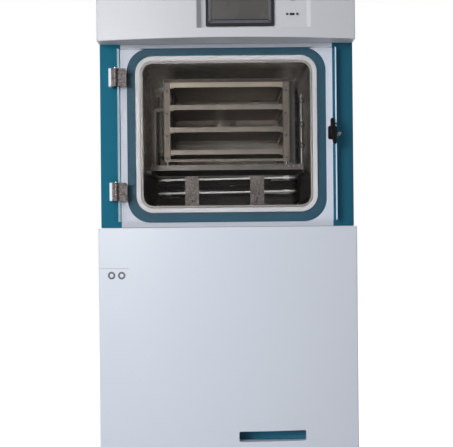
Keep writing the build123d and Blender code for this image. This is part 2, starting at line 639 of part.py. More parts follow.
def lower_front_cover():
    """Bowed lower shell with a pull slot, held on by four catch studs."""
    z0 = LOWER_COVER_BOTTOM
    z1 = COVER_TOP_Z
    w = COVER_WALL
    back = COVER_BACK_Y
    outer = rounded_front(bowed_block(HALF_WIDTH, BOW_RADIUS, back, z0, z1), back)
    inner = bowed_block(HALF_WIDTH - w, BOW_RADIUS - w, back + 1, z0 + w, z1 - w)
    shell = outer - inner
    skirt = span(HALF_WIDTH - w, HALF_WIDTH, back, SIDE_FRONT_Y, z0, z1)
    shell += mirrored(skirt)
    front = PULL_X + PULL_WIDTH / 2
    bow_here = BOW_CENTRE_Y - math.sqrt(BOW_RADIUS**2 - front**2)
    slot_y = bow_here + w
    liner = front_plate_shape(
        PULL_WIDTH + 2 * w,
        PULL_HEIGHT + 2 * w,
        PULL_RADIUS + w,
        PULL_CENTRE_Z,
        CROWN_Y,
        slot_y + PULL_LIP,
        PULL_X,
    )
    shell += liner & bowed_block(HALF_WIDTH - w, BOW_RADIUS - 1, back, z0 + w, z1 - w)
    shell -= front_plate_shape(
        PULL_WIDTH, PULL_HEIGHT, PULL_RADIUS, PULL_CENTRE_Z, CROWN_Y - 5, back, PULL_X
    )
    for x, z in catch_places():
        edge = math.copysign(HALF_WIDTH - w, x)
        near = x - math.copysign(CATCH_BOSS - 3, x)
        shell += span(near, edge, back - w, back, z - CATCH_BOSS, z + CATCH_BOSS)
        shell += rod_y(CATCH_RADIUS, back - w, back + CATCH_REACH, x, z)
    label = front_plate_shape(LABEL_WIDTH, LABEL_HEIGHT, 3, LABEL_Z, CROWN_Y, back, LABEL_X)
    raised = bowed_block(HALF_WIDTH - 0.5, BOW_RADIUS + LABEL_RAISE, back, z0 + 1, z1 - 1)
    raised -= bowed_block(HALF_WIDTH, BOW_RADIUS - 1, back + 1, z0, z1)
    return shell + (label & raised)


def lower_backing_panel():
    """Painted sheet behind the lower cover, with a service window above the pull slot."""
    y0 = FRAME_FRONT_Y - SURROUND_THICKNESS
    top = WINDOW_BAND_BOTTOM - COVER_GAP
    panel = span(-FRAME_HALF, FRAME_HALF, y0, FRAME_FRONT_Y, FRAME_BOTTOM + 20, top)
    height = BACKING_WINDOW_TOP - BACKING_WINDOW_BOTTOM
    middle = (BACKING_WINDOW_TOP + BACKING_WINDOW_BOTTOM) / 2
    panel -= front_plate_shape(BACKING_WINDOW_WIDTH, height, 20, middle, y0 - 1, FRAME_FRONT_Y + 1)
    hole = CATCH_RADIUS + CATCH_GROMMET_WALL + PRESS_CLEARANCE
    for x, z in catch_places():
        panel -= rod_y(hole, y0 - 1, FRAME_FRONT_Y + 1, x, z)
    return panel


def cover_catches():
    """Four rubber grommets in the backing panel that grip the cover's studs."""
    y0 = FRAME_FRONT_Y - SURROUND_THICKNESS
    body = CATCH_RADIUS + CATCH_GROMMET_WALL
    grommets = []
    for x, z in catch_places():
        ring = rod_y(body, y0, FRAME_FRONT_Y + 2, x, z)
        ring += rod_y(body + 2, y0 - 1.5, y0, x, z)
        ring += rod_y(body + 2, FRAME_FRONT_Y, FRAME_FRONT_Y + 2, x, z)
        grommets.append(ring - rod_y(CATCH_RADIUS + PIN_CLEARANCE, y0 - 3, FRAME_FRONT_Y + 3, x, z))
    return Compound(children=grommets)


def front_plate():
    """Light sheet between the posts with a large rounded window."""
    y1 = FACE_Y + PLATE_THICKNESS
    plate = span(-POST_INNER, POST_INNER, FACE_Y, y1, WINDOW_BAND_BOTTOM, WINDOW_BAND_TOP)
    z = DOOR_CENTRE_Z
    return plate - front_plate_shape(
        PLATE_HOLE_WIDTH, PLATE_HOLE_HEIGHT, PLATE_HOLE_RADIUS, z, FACE_Y - 1, y1 + 1
    )


def chamber_surround():
    """Painted ring that shows between the front plate and the chamber flange."""
    y0 = FACE_Y + PLATE_THICKNESS
    y1 = y0 + SURROUND_THICKNESS
    gap = SURROUND_HOLE_CLEARANCE
    ring = span(-POST_INNER, POST_INNER, y0, y1, WINDOW_BAND_BOTTOM, WINDOW_BAND_TOP)
    return ring - front_plate_shape(
        SEAL_OUTER_WIDTH + 2 * gap,
        SEAL_OUTER_HEIGHT + 2 * gap,
        SEAL_OUTER_RADIUS + gap,
        CHAMBER_CENTRE_Z,
        y0 - 1,
        y1 + 1,
    )


def front_post(side):
    """Folded corner post: face, outer return and inner return."""
    z0 = WINDOW_BAND_BOTTOM
    z1 = WINDOW_BAND_TOP
    post = span(POST_INNER, PANEL_FACE, FACE_Y, SIDE_FRONT_Y, z0, z1)
    post -= span(POST_INNER, FRAME_HALF, FACE_Y + SHEET, SIDE_FRONT_Y, z0, z1)
    post += span(POST_INNER, POST_INNER + SHEET, FACE_Y, FRAME_FRONT_Y, z0, z1)
    outer = [e for e in post.edges().filter_by(Axis.Z) if e.center().Y < FACE_Y + 0.1]
    outer = [e for e in outer if e.center().X > PANEL_FACE - 0.1]
    post = fillet(outer, SHEET)
    if side > 0:
        post -= rod_y(STUD_RADIUS + PRESS_CLEARANCE, FACE_Y - 1, FACE_Y + SHEET + 1, STUD_X, STUD_Z)
    return post if side > 0 else mirror(post, about=Plane.YZ)


# ---- Vacuum chamber ----
def vacuum_chamber():
    """Welded stainless box with a front flange, rib hoops, saddle bars and inner ledges."""
    w = CHAMBER_WALL
    back = CHAMBER_BACK_Y
    z = CHAMBER_CENTRE_Z
    flange_back = REBATE_Y + FLANGE_THICKNESS
    body = front_plate_shape(
        CHAMBER_WIDTH + 2 * w, CHAMBER_HEIGHT + 2 * w, CHAMBER_RADIUS + w, z, FACE_Y, back + w
    )
    flange = front_plate_shape(
        FLANGE_WIDTH, FLANGE_HEIGHT, CHAMBER_RADIUS + FLANGE_MARGIN / 2, z, REBATE_Y, flange_back
    )
    lip = front_plate_shape(
        SEAL_INNER_WIDTH, SEAL_INNER_HEIGHT, SEAL_INNER_RADIUS, z, FACE_Y, REBATE_Y
    )
    body += flange
    body += lip
    for place in RIB_PLACES:
        y = FACE_Y + place
        margin = 2 * (w + RIB_HEIGHT)
        body += front_plate_shape(
            CHAMBER_WIDTH + margin, CHAMBER_HEIGHT + margin, CHAMBER_RADIUS, z, y, y + RIB_WIDTH
        )
        saddle_top = RIB_OUTER_BOTTOM
        body += span(-FRAME_HALF + 5, FRAME_HALF - 5, y, y + RIB_WIDTH, CRADLE_Z, saddle_top)
    body -= front_plate_shape(CHAMBER_WIDTH, CHAMBER_HEIGHT, CHAMBER_RADIUS, z, FACE_Y - 1, back)
    ledge_top = BAFFLE_FLOOR
    half = CHAMBER_WIDTH / 2
    ledge_end = RACK_BACK_Y + BAFFLE_REAR_LAP
    ledge = span(half - LEDGE_WIDTH, half + 1, RACK_FRONT_Y, ledge_end, ledge_top - LEDGE_HEIGHT, ledge_top)
    body += mirrored(ledge)
    body -= rod_y(PORT_RADIUS, back - 1, back + w + 1, 0, PORT_Z)
    floor = CHAMBER_BOTTOM
    body -= rod_z(DRAIN_RADIUS, floor - w - 1, floor + 1, DRAIN_X, DRAIN_Y)
    for x in HOSE_X:
        body -= rod_y(HOSE_RADIUS + PRESS_CLEARANCE, back - 1, back + w + 1, x, hose_exit_z(x))
    for x in (-COIL_END_X, COIL_END_X):
        body -= rod_y(COIL_RADIUS + PRESS_CLEARANCE, back - 1, back + w + 1, x, coil_exit_z(x))
    return body


def hose_exit_z(x):
    """Height at which each shelf hose leaves through the chamber's back wall."""
    return BAFFLE_TOP + HOSE_EXIT_RISES[HOSE_X.index(x)]


def coil_exit_z(x):
    """Height at which each end of the coil leaves through the chamber's back wall."""
    return COIL_BOTTOM - COIL_RISE if x < 0 else COIL_BOTTOM + COIL_PITCH + 2 * COIL_RISE


def chamber_jacket():
    """Foam insulation boards in a close box around the chamber, parted at the saddle bars."""
    w = CHAMBER_WALL + RIB_HEIGHT
    t = JACKET_THICKNESS
    y0 = REBATE_Y + FLANGE_THICKNESS
    y1 = CHAMBER_BACK_Y + CHAMBER_WALL
    x = CHAMBER_WIDTH / 2 + w
    low = CHAMBER_BOTTOM - w
    high = CHAMBER_TOP + w
    boards = [span(-x - t, x + t, y0, y1 + t, high, high + t)]
    boards.append(span(-x - t, -x, y0, y1 + t, low, high))
    boards.append(span(x, x + t, y0, y1 + t, low, high))
    back = span(-x, x, y1, y1 + t, low, high)
    back -= rod_y(PORT_RADIUS + PORT_WALL, y1 - 1, y1 + t + 1, 0, PORT_Z)
    for hose_x in HOSE_X:
        back -= rod_y(HOSE_RADIUS + PRESS_CLEARANCE, y1 - 1, y1 + t + 1, hose_x, hose_exit_z(hose_x))
    for coil_x in (-COIL_END_X, COIL_END_X):
        back -= rod_y(COIL_RADIUS + PRESS_CLEARANCE, y1 - 1, y1 + t + 1, coil_x, coil_exit_z(coil_x))
    boards.append(back)
    starts = [y0] + [FACE_Y + place + RIB_WIDTH for place in RIB_PLACES]
    ends = [FACE_Y + place for place in RIB_PLACES] + [y1 + t]
    drain = rod_z(DRAIN_RADIUS + DRAIN_WALL, low - t - 1, low + 1, DRAIN_X, DRAIN_Y)
    for start, end in zip(starts, ends):
        boards.append(span(-x - t, x + t, start, end, low - t, low) - drain)
    return Compound(children=boards)


def door_gasket():
    """Moulded seal ring around the chamber lip, just clear of the closed door."""
    front = DOOR_BACK_Y + SEAL_CLEARANCE
    ring = front_plate_shape(
        SEAL_OUTER_WIDTH, SEAL_OUTER_HEIGHT, SEAL_OUTER_RADIUS, CHAMBER_CENTRE_Z, front, REBATE_Y
    )
    ring -= front_plate_shape(
        SEAL_INNER_WIDTH, SEAL_INNER_HEIGHT, SEAL_INNER_RADIUS, CHAMBER_CENTRE_Z, front - 1, REBATE_Y + 1
    )
    rims = [e for e in ring.edges() if abs(e.center().Y - front) < 0.01]
    return fillet(rims, 3.0)


def vacuum_port():
    """Pumping tube from the chamber's back wall to a clamp flange with a centring seat."""
    y0 = CHAMBER_BACK_Y + CHAMBER_WALL
    y1 = REAR_PANEL_Y + PORT_REACH
    tube = rod_y(PORT_RADIUS + PORT_WALL, y0, y1, 0, PORT_Z)
    tube += rod_y(PORT_FLANGE_RADIUS, y1 - PORT_FLANGE_THICKNESS, y1, 0, PORT_Z)
    tube -= rod_y(PORT_RADIUS, y0 - 1, y1 + 1, 0, PORT_Z)
    return tube - rod_y(PORT_SEAT_RADIUS, y1 - PORT_SEAT_DEPTH, y1 + 1, 0, PORT_Z)


# ---- Shelf rack, baffle and coil ----
def shelf_rack():
    """Four uprights joined by end rails, with a rail under each end of each shelf and four feet."""
    x = RACK_WIDTH / 2
    u = UPRIGHT_WIDTH
    y0 = RACK_FRONT_Y
    y1 = RACK_BACK_Y
    t = SHELF_RAIL_WALL
    rack = None
    for y in (y0, y1 - u):
        upright = span(x - u, x, y, y + u, RACK_BOTTOM, RACK_TOP)
        upright -= span(x - u + t, x - t, y + t, y + u, RACK_BOTTOM - 1, RACK_TOP + 1)
        rack = mirrored(upright) if rack is None else rack + mirrored(upright)
    top_band = RACK_TOP - TOP_SHELF_Z - SHELF_THICKNESS - SHELF_CLEARANCE
    for y in (y0 + t, y1 - t - t):
        rack += span(-x + t, x - t, y, y + t, RACK_TOP - top_band, RACK_TOP)
        rack += span(-x + t, x - t, y, y + t, RACK_BOTTOM, RACK_BOTTOM + 8)
    for z in SHELF_PLACES:
        rail = span(x - u, x - u + t, y0, y1, z - SHELF_RAIL, z)
        rail += span(x - u - 10, x - u, y0 + t, y1 - t, z - t, z)
        rack += mirrored(rail)
    for y in (y0 + u / 2, y1 - u / 2):
        foot = rod_z(5, BAFFLE_FLOOR + BAFFLE_SHEET, RACK_BOTTOM + t, x - u / 2, y)
        cap = span(x - u + t, x - t, y - u / 2 + t, y + u / 2 - t, RACK_BOTTOM, RACK_BOTTOM + t)
        rack += mirrored(foot + cap)
    for z in SHELF_PLACES:
        for sx in (-1, 1):
            hole_x = sx * (x - u / 2)
            rack -= rod_y(SCREW_SHANK_RADIUS + PRESS_CLEARANCE, y0 - 1, y0 + t + 1, hole_x, rack_screw_z(z))
    return rack


def rack_screw_z(shelf_z):
    """Height of the screw below each shelf."""
    return shelf_z - SHELF_RAIL


def shelf(z):
    """One hollow heated plate with fluid stubs on its left end."""
    gap = SHELF_CLEARANCE
    half = SHELF_WIDTH / 2 - gap
    y0 = RACK_FRONT_Y + gap
    y1 = RACK_BACK_Y - gap
    plate = span(-half, half, y0, y1, z, z + SHELF_THICKNESS)
    plate = fillet(plate.edges().filter_by(Axis.Z), 2)
    rim = [e for e in plate.edges() if abs(e.center().Z - z - SHELF_THICKNESS) < 0.01]
    return chamfer(rim, 0.8)


def shelf_hoses():
    """Supply and return hoses into a middle shelf, and looped links between neighbouring shelves."""
    left = -SHELF_WIDTH / 2 + SHELF_CLEARANCE
    entry = SHELF_PLACES[1] + SHELF_THICKNESS / 2
    hoses = []
    for i, x in enumerate(HOSE_X):
        y = RACK_FRONT_Y + HOSE_SETBACK + i * HOSE_STAGGER
        z_low = hose_exit_z(x)
        points = [(left, y, entry), (x, y, entry), (x, y, z_low), (x, LINE_END_Y, z_low)]
        hoses.append(pipe(points, HOSE_BEND, HOSE_RADIUS))
    outer = left - LINK_REACH
    for i in range(SHELF_COUNT - 1):
        high = SHELF_PLACES[i] + SHELF_THICKNESS / 2
        low = SHELF_PLACES[i + 1] + SHELF_THICKNESS / 2
        y = RACK_FRONT_Y + LINK_SETBACK + i * LINK_STAGGER
        points = [(left, y, high), (outer, y, high), (outer, y, low), (left, y, low)]
        hoses.append(pipe(points, LINK_BEND, LINK_RADIUS))
    return Compound(children=hoses)


def probe_rail():
    """Upright rod on the right wall with ring sockets for the product temperature probes."""
    y = RACK_FRONT_Y + PROBE_SETBACK
    z0 = BAFFLE_FLOOR + BAFFLE_SHEET
    z1 = PROBE_SOCKET_Z[-1] + PROBE_TOP_STICK
    back = y + PROBE_ROD_RADIUS + 1
    front = back - PROBE_RING_DEPTH
    rail = rod_z(PROBE_ROD_RADIUS, z0, z1, PROBE_X, y)
    for z in PROBE_SOCKET_Z:
        ring = rod_y(PROBE_SOCKET_RADIUS, front, back, PROBE_X, z)
        inner = PROBE_SOCKET_RADIUS - PROBE_RING_WALL
        ring -= rod_y(inner, front - 1, y - PROBE_ROD_RADIUS / 2, PROBE_X, z)
        rail += ring
    duct_x = RACK_WIDTH / 2 + 1
    duct_y = y + DUCT_WIDTH + DUCT_SHEET + 2
    duct = span(duct_x, duct_x + DUCT_WIDTH, duct_y, duct_y + DUCT_SHEET, z0, RACK_TOP)
    bridge = span(duct_x + DUCT_WIDTH / 2, PROBE_X, y - 2, duct_y + 2, z0, z0 + 4)
    return rail + duct + bridge


def baffle_plate():
    """Folded stainless tray between the shelves and the coil, resting on the chamber's ledges."""
    half = BAFFLE_WIDTH / 2
    y0 = RACK_FRONT_Y - BAFFLE_FRONT_LAP
    y1 = RACK_BACK_Y + BAFFLE_REAR_LAP
    t = BAFFLE_SHEET
    plate = span(-half, half, y0, y1, BAFFLE_FLOOR, BAFFLE_FLOOR + t)
    plate += span(-half, half, y0 - t, y0, BAFFLE_FLOOR, BAFFLE_TOP)
    return plate


def coil_path():
    """Two stacked rectangular turns that climb steadily, with both ends through the back wall."""
    w = COIL_HALF_WIDTH
    yf = COIL_FRONT_Y
    yb = COIL_BACK_Y
    out = LINE_END_Y
    z = COIL_BOTTOM
    r = COIL_RISE
    p = COIL_PITCH
    xe = COIL_END_X
    return [
        (-xe, out, z - r),
        (-xe, yb, z - r),
        (-w, yb, z - r),
        (-w, yf, z - r / 2),
        (w, yf, z + r / 2),
        (w, yb, z + r),
        (-w, yb, z + p / 2),
        (-w, yf, z + p - r / 2),
        (w, yf, z + p + r / 2),
        (w, yb, z + p + 2 * r),
        (xe, yb, z + p + 2 * r),
        (xe, out, z + p + 2 * r),
    ]


def condenser_coil():
    """Bent refrigerant tube on which the ice collects."""
    return pipe(coil_path(), COIL_BEND, COIL_RADIUS)


def coil_brackets():
    """Two folded strips that stand on the chamber floor in front of the coil and hook over it."""
    y0 = COIL_FRONT_Y - COIL_RADIUS - BRACKET_SHEET - BRACKET_CLEARANCE
    t = BRACKET_SHEET
    strips = []
    for x in BRACKET_X:
        half = BRACKET_WIDTH / 2
        floor = CHAMBER_BOTTOM
        strip = span(x - half, x + half, y0, y0 + t, floor, BRACKET_TOP)
        strip += span(x - half, x + half, y0, y0 + BRACKET_FOOT, floor, floor + t)
        top_z = BRACKET_TOP
        strip += span(x - half, x + half, y0, y0 + 2 * COIL_RADIUS + 2 * t, top_z - t, top_z)
        screw_z = floor + BRACKET_SCREW_HEIGHT
        strip -= rod_y(SCREW_SHANK_RADIUS + PRESS_CLEARANCE, y0 - 1, y0 + t + 1, x, screw_z)
        strips.append(strip)
    return Compound(children=strips)


def panel_screws():
    """Identical pan-head screws: rack uprights, coil brackets and the data socket."""
    screws = []
    for z in SHELF_PLACES:
        for side in (-1, 1):
            x = side * (RACK_WIDTH - UPRIGHT_WIDTH) / 2
            screws.append(pan_screw(x, RACK_FRONT_Y, rack_screw_z(z), SHELF_RAIL_WALL + 2))
    y = COIL_FRONT_Y - COIL_RADIUS - BRACKET_SHEET - BRACKET_CLEARANCE
    for x in BRACKET_X:
        screws.append(pan_screw(x, y, CHAMBER_BOTTOM + BRACKET_SCREW_HEIGHT, BRACKET_SHEET + 2))
    for x in (USB_X - USB_SCREW_SPACING / 2, USB_X + USB_SCREW_SPACING / 2):
        screws.append(pan_screw(x, RECESS_FLOOR_Y - 2, USB_Z, COVER_WALL + 4))
    return Compound(children=screws)


# ---- Door, hinges and latch ----
def door_pane():
    """Thick clear acrylic plate."""
    pane = span(
        -DOOR_WIDTH / 2,
        DOOR_WIDTH / 2,
        DOOR_FRONT_Y,
        DOOR_BACK_Y,
        DOOR_CENTRE_Z - DOOR_HEIGHT / 2,
        DOOR_CENTRE_Z + DOOR_HEIGHT / 2,
    )
    pane = fillet(pane.edges().filter_by(Axis.Y), DOOR_CORNER_RADIUS)
    rims = [e for e in pane.edges() if abs(e.center().Y - DOOR_FRONT_Y) < 0.01]
    rims += [e for e in pane.edges() if abs(e.center().Y - DOOR_BACK_Y) < 0.01]
    return chamfer(rims, 1.0)


def post_hinge_leaves():
    """Hinge blocks on the post with an upper and a lower knuckle."""
    blocks = []
    for z in HINGE_PLACES:
        z0 = z - HINGE_HEIGHT / 2
        z1 = z + HINGE_HEIGHT / 2
        right = HINGE_X - HINGE_KNUCKLE_RADIUS - 0.5
        left = right - HINGE_POST_LEAF_WIDTH
        front = HINGE_Y + 1
        block = span(left, right, front, FACE_Y, z0, z1)
        edges = [e for e in block.edges().filter_by(Axis.Z) if e.center().Y < front + 0.1]
        edges = [e for e in edges if e.center().X < left + 0.1]
        block = chamfer(edges, 6.0)
        for k in (z0, z1 - KNUCKLE):
            block += span(right - 1, HINGE_X, front, HINGE_Y + HINGE_KNUCKLE_RADIUS, k, k + KNUCKLE)
            block += rod_z(HINGE_KNUCKLE_RADIUS, k, k + KNUCKLE, HINGE_X, HINGE_Y)
        block -= rod_z(HINGE_PIN_RADIUS + PRESS_CLEARANCE, z0 - 1, z1 + 1, HINGE_X, HINGE_Y)
        blocks.append(block)
    return Compound(children=blocks)


def door_hinge_leaves():
    """Leaves screwed to the door's face, each with a middle knuckle."""
    leaves = []
    for z in HINGE_PLACES:
        z0 = z - HINGE_HEIGHT / 2
        z1 = z + HINGE_HEIGHT / 2
        x0 = HINGE_X + HINGE_AXIS_OUTSET
        x1 = x0 + HINGE_DOOR_LEAF_WIDTH
        y1 = DOOR_FRONT_Y
        leaf = span(x0, x1, y1 - HINGE_LEAF, y1, z0, z1)
        corners = [e for e in leaf.edges().filter_by(Axis.Y) if e.center().X > x0 + 1]
        leaf = fillet(corners, 4.0)
        k0 = z0 + KNUCKLE + AXIAL_CLEARANCE
        k1 = z1 - KNUCKLE - AXIAL_CLEARANCE
        leaf += rod_z(HINGE_KNUCKLE_RADIUS, k0, k1, HINGE_X, HINGE_Y)
        leaf += span(HINGE_X, x0 + 3, HINGE_Y, y1, k0, k1)
        for sz in (z0, z1 - KNUCKLE):
            leaf -= rod_z(HINGE_KNUCKLE_RADIUS + AXIAL_CLEARANCE, sz - 1, sz + KNUCKLE + 1, HINGE_X, HINGE_Y)
        leaf -= rod_z(HINGE_PIN_RADIUS + PIN_CLEARANCE, z0 - 1, z1 + 1, HINGE_X, HINGE_Y)
        for sz in (z - 15, z + 15):
            for sx in (x0 + 11, x0 + 22):
                leaf += rod_y(SCREW_HEAD_RADIUS, y1 - HINGE_LEAF - 1.2, y1 - HINGE_LEAF, sx, sz)
        leaves.append(leaf)
    return Compound(children=leaves)


def hinge_pins():
    """Headed pins through the knuckles."""
    pins = []
    for z in HINGE_PLACES:
        z0 = z - HINGE_HEIGHT / 2
        z1 = z + HINGE_HEIGHT / 2
        pin = rod_z(HINGE_PIN_RADIUS, z0, z1, HINGE_X, HINGE_Y)
        head = rod_z(HINGE_PIN_RADIUS + 1.5, z1, z1 + 2, HINGE_X, HINGE_Y)
        pins.append(pin + head)
    return Compound(children=pins)


def latch_housing():
    """Base plate of the latch with the blind bore for the handle's shaft."""
    plate = front_plate_shape(
        LATCH_PLATE_WIDTH - 3,
        LATCH_PLATE_HEIGHT,
        6,
        LATCH_Z - 3,
        LATCH_FACE_Y,
        DOOR_FRONT_Y,
        LATCH_X - 1.5,
    )
    rims = [e for e in plate.edges() if abs(e.center().Y - LATCH_FACE_Y) < 0.01]
    plate = fillet(rims, 1.0)
    bore = LATCH_SHAFT_RADIUS + PIN_CLEARANCE
    return plate - rod_y(bore, LATCH_FACE_Y - 1, DOOR_FRONT_Y - 1, LATCH_X, LATCH_Z)


def latch_handle():
    """Wing handle with its hub and shaft, standing upright when the door is released."""
    y0 = HANDLE_BACK_Y
    y1 = y0 - HANDLE_DEPTH
    tip_radius = HANDLE_WIDTH * HANDLE_TIP_TAPER / 2
    tip = HANDLE_LENGTH / 2 - tip_radius
    outline = Circle(HANDLE_WIDTH / 2)
    for end in (-tip, tip):
        half = HANDLE_WIDTH / 2
        wing = Polyline((-half, 0), (half, 0), (tip_radius, end), (-tip_radius, end), close=True)
        outline = outline + make_face(wing) + Pos(0, end) * Circle(tip_radius)
    plane = Plane(origin=(LATCH_X, y1, LATCH_Z), x_dir=(1, 0, 0), z_dir=(0, -1, 0))
    handle = extrude(plane * (Rot(0, 0, HANDLE_TILT) * outline), amount=-HANDLE_DEPTH)
    rims = [e for e in handle.edges() if abs(e.center().Y - y1) < 0.01]
    handle = chamfer(rims, 1.5)
    handle += rod_y(HANDLE_WIDTH / 2 - 0.5, y0 - 1, CAM_FACE_Y, LATCH_X, LATCH_Z)
    return handle + rod_y(LATCH_SHAFT_RADIUS, CAM_FACE_Y, DOOR_FRONT_Y - 2, LATCH_X, LATCH_Z)


def cam_ray(angle):
    """The end of a ray from the cam's centre, well outside its rim."""
    reach = 2 * CAM_RADIUS
    return (reach * math.cos(math.radians(angle)), reach * math.sin(math.radians(angle)))


def cam_sector(start, end):
    """The wedge between two rays from the cam's centre."""
    return make_face(Polyline((0, 0), cam_ray(start), cam_ray(end), close=True))


def latch_cam():
    """Hooked steel cam keyed on the shaft, drawn in its released place."""
    dx = STUD_X - LATCH_X
    dz = STUD_Z - LATCH_Z
    reach = math.hypot(dx, dz)
    stud_angle = math.degrees(math.atan2(dz, dx))
    gap = STUD_RADIUS + STUD_CLEARANCE
    lead = stud_angle - CAM_LEAD
    arm = cam_sector(lead, CAM_TRAIL) & Circle(CAM_RADIUS)
    outline = arm + Circle(LATCH_SHAFT_RADIUS + CAM_HUB_WALL)
    slot = (Circle(reach + gap) - Circle(reach - gap)) & cam_sector(lead - 20, stud_angle)
    slot = slot + Pos(dx, dz) * Circle(gap)
    outline = outline - slot - Circle(LATCH_SHAFT_RADIUS + PRESS_CLEARANCE)
    outline = Rot(0, 0, 90) * outline
    plane = Plane(origin=(LATCH_X, CAM_FACE_Y, LATCH_Z), x_dir=(1, 0, 0), z_dir=(0, -1, 0))
    return extrude(plane * outline, amount=-CAM_THICKNESS)


def striker_stud():
    """Stud in the right post that the cam hooks behind: shank, pressed-on head and seating ring."""
    shank = rod_y(STUD_RADIUS, STUD_HEAD_Y, FACE_Y + SHEET + 3, STUD_X, STUD_Z)
    head = rod_y(STUD_HEAD_RADIUS, STUD_HEAD_Y - STUD_HEAD_THICKNESS, STUD_HEAD_Y, STUD_X, STUD_Z)
    rim = head.edges().filter_by(GeomType.CIRCLE).sort_by(Axis.Y)[0]
    head = fillet(rim, 1.0)
    ring = rod_y(STUD_RADIUS + 3, FACE_Y - 2, FACE_Y, STUD_X, STUD_Z)
    ring -= rod_y(STUD_RADIUS, FACE_Y - 3, FACE_Y + 1, STUD_X, STUD_Z)
    return Compound(children=[shank, head, ring])


# ---- Controls ----
def touchscreen():
    """Panel-mounted operator screen: bezel frame in front, body through the cover."""
    y1 = RECESS_FLOOR_Y
    bezel = front_plate_shape(SCREEN_WIDTH, SCREEN_HEIGHT, 5, SCREEN_Z, y1 - SCREEN_BEZEL, y1, SCREEN_X)
    rims = [e for e in bezel.edges() if abs(e.center().Y - y1 + SCREEN_BEZEL) < 0.01]
    bezel = chamfer(rims, 2.0)
    half_w = SCREEN_WIDTH / 2 - SCREEN_BEZEL
    half_h = SCREEN_HEIGHT / 2 - SCREEN_BEZEL
    back = y1 + SCREEN_BODY_DEPTH
    bezel += span(SCREEN_X - half_w, SCREEN_X + half_w, y1, back, SCREEN_Z - half_h, SCREEN_Z + half_h)
    front = y1 - SCREEN_BEZEL
    raise_z = SCREEN_Z + 4
    return bezel - front_plate_shape(
        DISPLAY_WIDTH, DISPLAY_HEIGHT, 1.5, raise_z, front - 1, front + DISPLAY_DEPTH, SCREEN_X
    )


def usb_socket():
    """Data socket with a screwed flange."""
    y1 = RECESS_FLOOR_Y
    flange = front_plate_shape(USB_FLANGE_WIDTH, USB_FLANGE_HEIGHT, 4, USB_Z, y1 - 2, y1, USB_X)
    half_w = USB_SLOT_WIDTH / 2 + 2
    half_h = USB_SLOT_HEIGHT / 2 + 1.5
    flange += span(USB_X - half_w, USB_X + half_w, y1, y1 + 18, USB_Z - half_h, USB_Z + half_h)
    w = USB_SLOT_WIDTH / 2
    h = USB_SLOT_HEIGHT / 2
    flange -= span(USB_X - w, USB_X + w, y1 - 3, y1 + 12, USB_Z - h, USB_Z + h)
    flange += span(USB_X - w + 1, USB_X + w - 1, y1, y1 + 13, USB_Z + 0.3, USB_Z + h - 0.8)
    for x in (USB_X - USB_SCREW_SPACING / 2, USB_X + USB_SCREW_SPACING / 2):
        flange -= rod_y(SCREW_SHANK_RADIUS + PRESS_CLEARANCE, y1 - 3, y1 + 1, x, USB_Z)
    return flange


def button_collar():
    """Metal bezel and barrel of the push button."""
    y1 = RECESS_FLOOR_Y
    ring = rod_y(BUTTON_BEZEL_RADIUS, y1 - 3, y1, BUTTON_X, BUTTON_Z)
    rim = ring.edges().filter_by(GeomType.CIRCLE).sort_by(Axis.Y)[0]
    ring = fillet(rim, 1.2)
    ring += rod_y(BUTTON_BODY_RADIUS, y1, y1 + 25, BUTTON_X, BUTTON_Z)
    bore = BUTTON_RADIUS + BUTTON_CLEARANCE
    ring -= rod_y(bore, y1 - 4, y1 + 2, BUTTON_X, BUTTON_Z)
    return ring - rod_y(7.3, y1 + 1, y1 + 12, BUTTON_X, BUTTON_Z)


def power_button():
    """Sprung cap of the push button."""
    y1 = RECESS_FLOOR_Y
    front = y1 - 4
    back = y1 + 2 - BUTTON_TRAVEL - BUTTON_CLEARANCE
    cap = rod_y(BUTTON_RADIUS, front, back, BUTTON_X, BUTTON_Z)
    rim = cap.edges().filter_by(GeomType.CIRCLE).sort_by(Axis.Y)[0]
    cap = fillet(rim, 0.8)
    return cap + rod_y(7, back, y1 + 12 - BUTTON_TRAVEL - BUTTON_CLEARANCE, BUTTON_X, BUTTON_Z)


# ---- Machinery bay ----
def compressor():
    """Hermetic compressor can on a foot plate with rubber mounts."""
    x = COMPRESSOR_X
    y = COMPRESSOR_Y
    z0 = FLOOR_PAN_Z + COMPRESSOR_MOUNT
    r = COMPRESSOR_RADIUS
    can = rod_z(r, z0 + 4, z0 + COMPRESSOR_HEIGHT, x, y)
    ends = can.edges().filter_by(GeomType.CIRCLE)
    can = fillet(ends, r * 0.35)
    can += rod_z(r + 3, z0 + COMPRESSOR_HEIGHT * 0.5, z0 + COMPRESSOR_HEIGHT * 0.5 + 8, x, y)
    can += span(x - r - 5, x + r + 5, y - r * 0.8, y + r * 0.8, z0, z0 + 8)
    for dx in (-r + 12, r - 12):
        for dy in (-r * 0.8 + 15, r * 0.8 - 15):
            can += rod_z(11, FLOOR_PAN_Z, z0, x + dx, y + dy)
    return can + span(x + r - 8, x + r + 30, y - 35, y + 35, z0 + 150, z0 + 220)


def fluid_heater():
    """Heated fluid tank with its circulation pump on the lid."""
    x = HEATER_X
    y = HEATER_Y
    top = FLOOR_PAN_Z + HEATER_HEIGHT
    tank = rod_z(HEATER_RADIUS, FLOOR_PAN_Z, top, x, y)
    tank = fillet(tank.edges().filter_by(GeomType.CIRCLE), 8)
    tank += rod_z(HEATER_RADIUS + 6, top - 22, top - 14, x, y)
    pump = rod_z(PUMP_RADIUS, top, top + PUMP_HEIGHT, x - PUMP_OFFSET, y)
    pump = fillet(pump.edges().filter_by(GeomType.CIRCLE).sort_by(Axis.Z)[-1], 10)
    for i in range(PUMP_FINS):
        fin = Pos(PUMP_RADIUS + 2, 0, 0) * Box(6, 3, PUMP_HEIGHT - 40)
        pump += Pos(x - PUMP_OFFSET, y, top + PUMP_HEIGHT / 2) * Rot(0, 0, 360 / PUMP_FINS * i) * fin
    return tank + pump


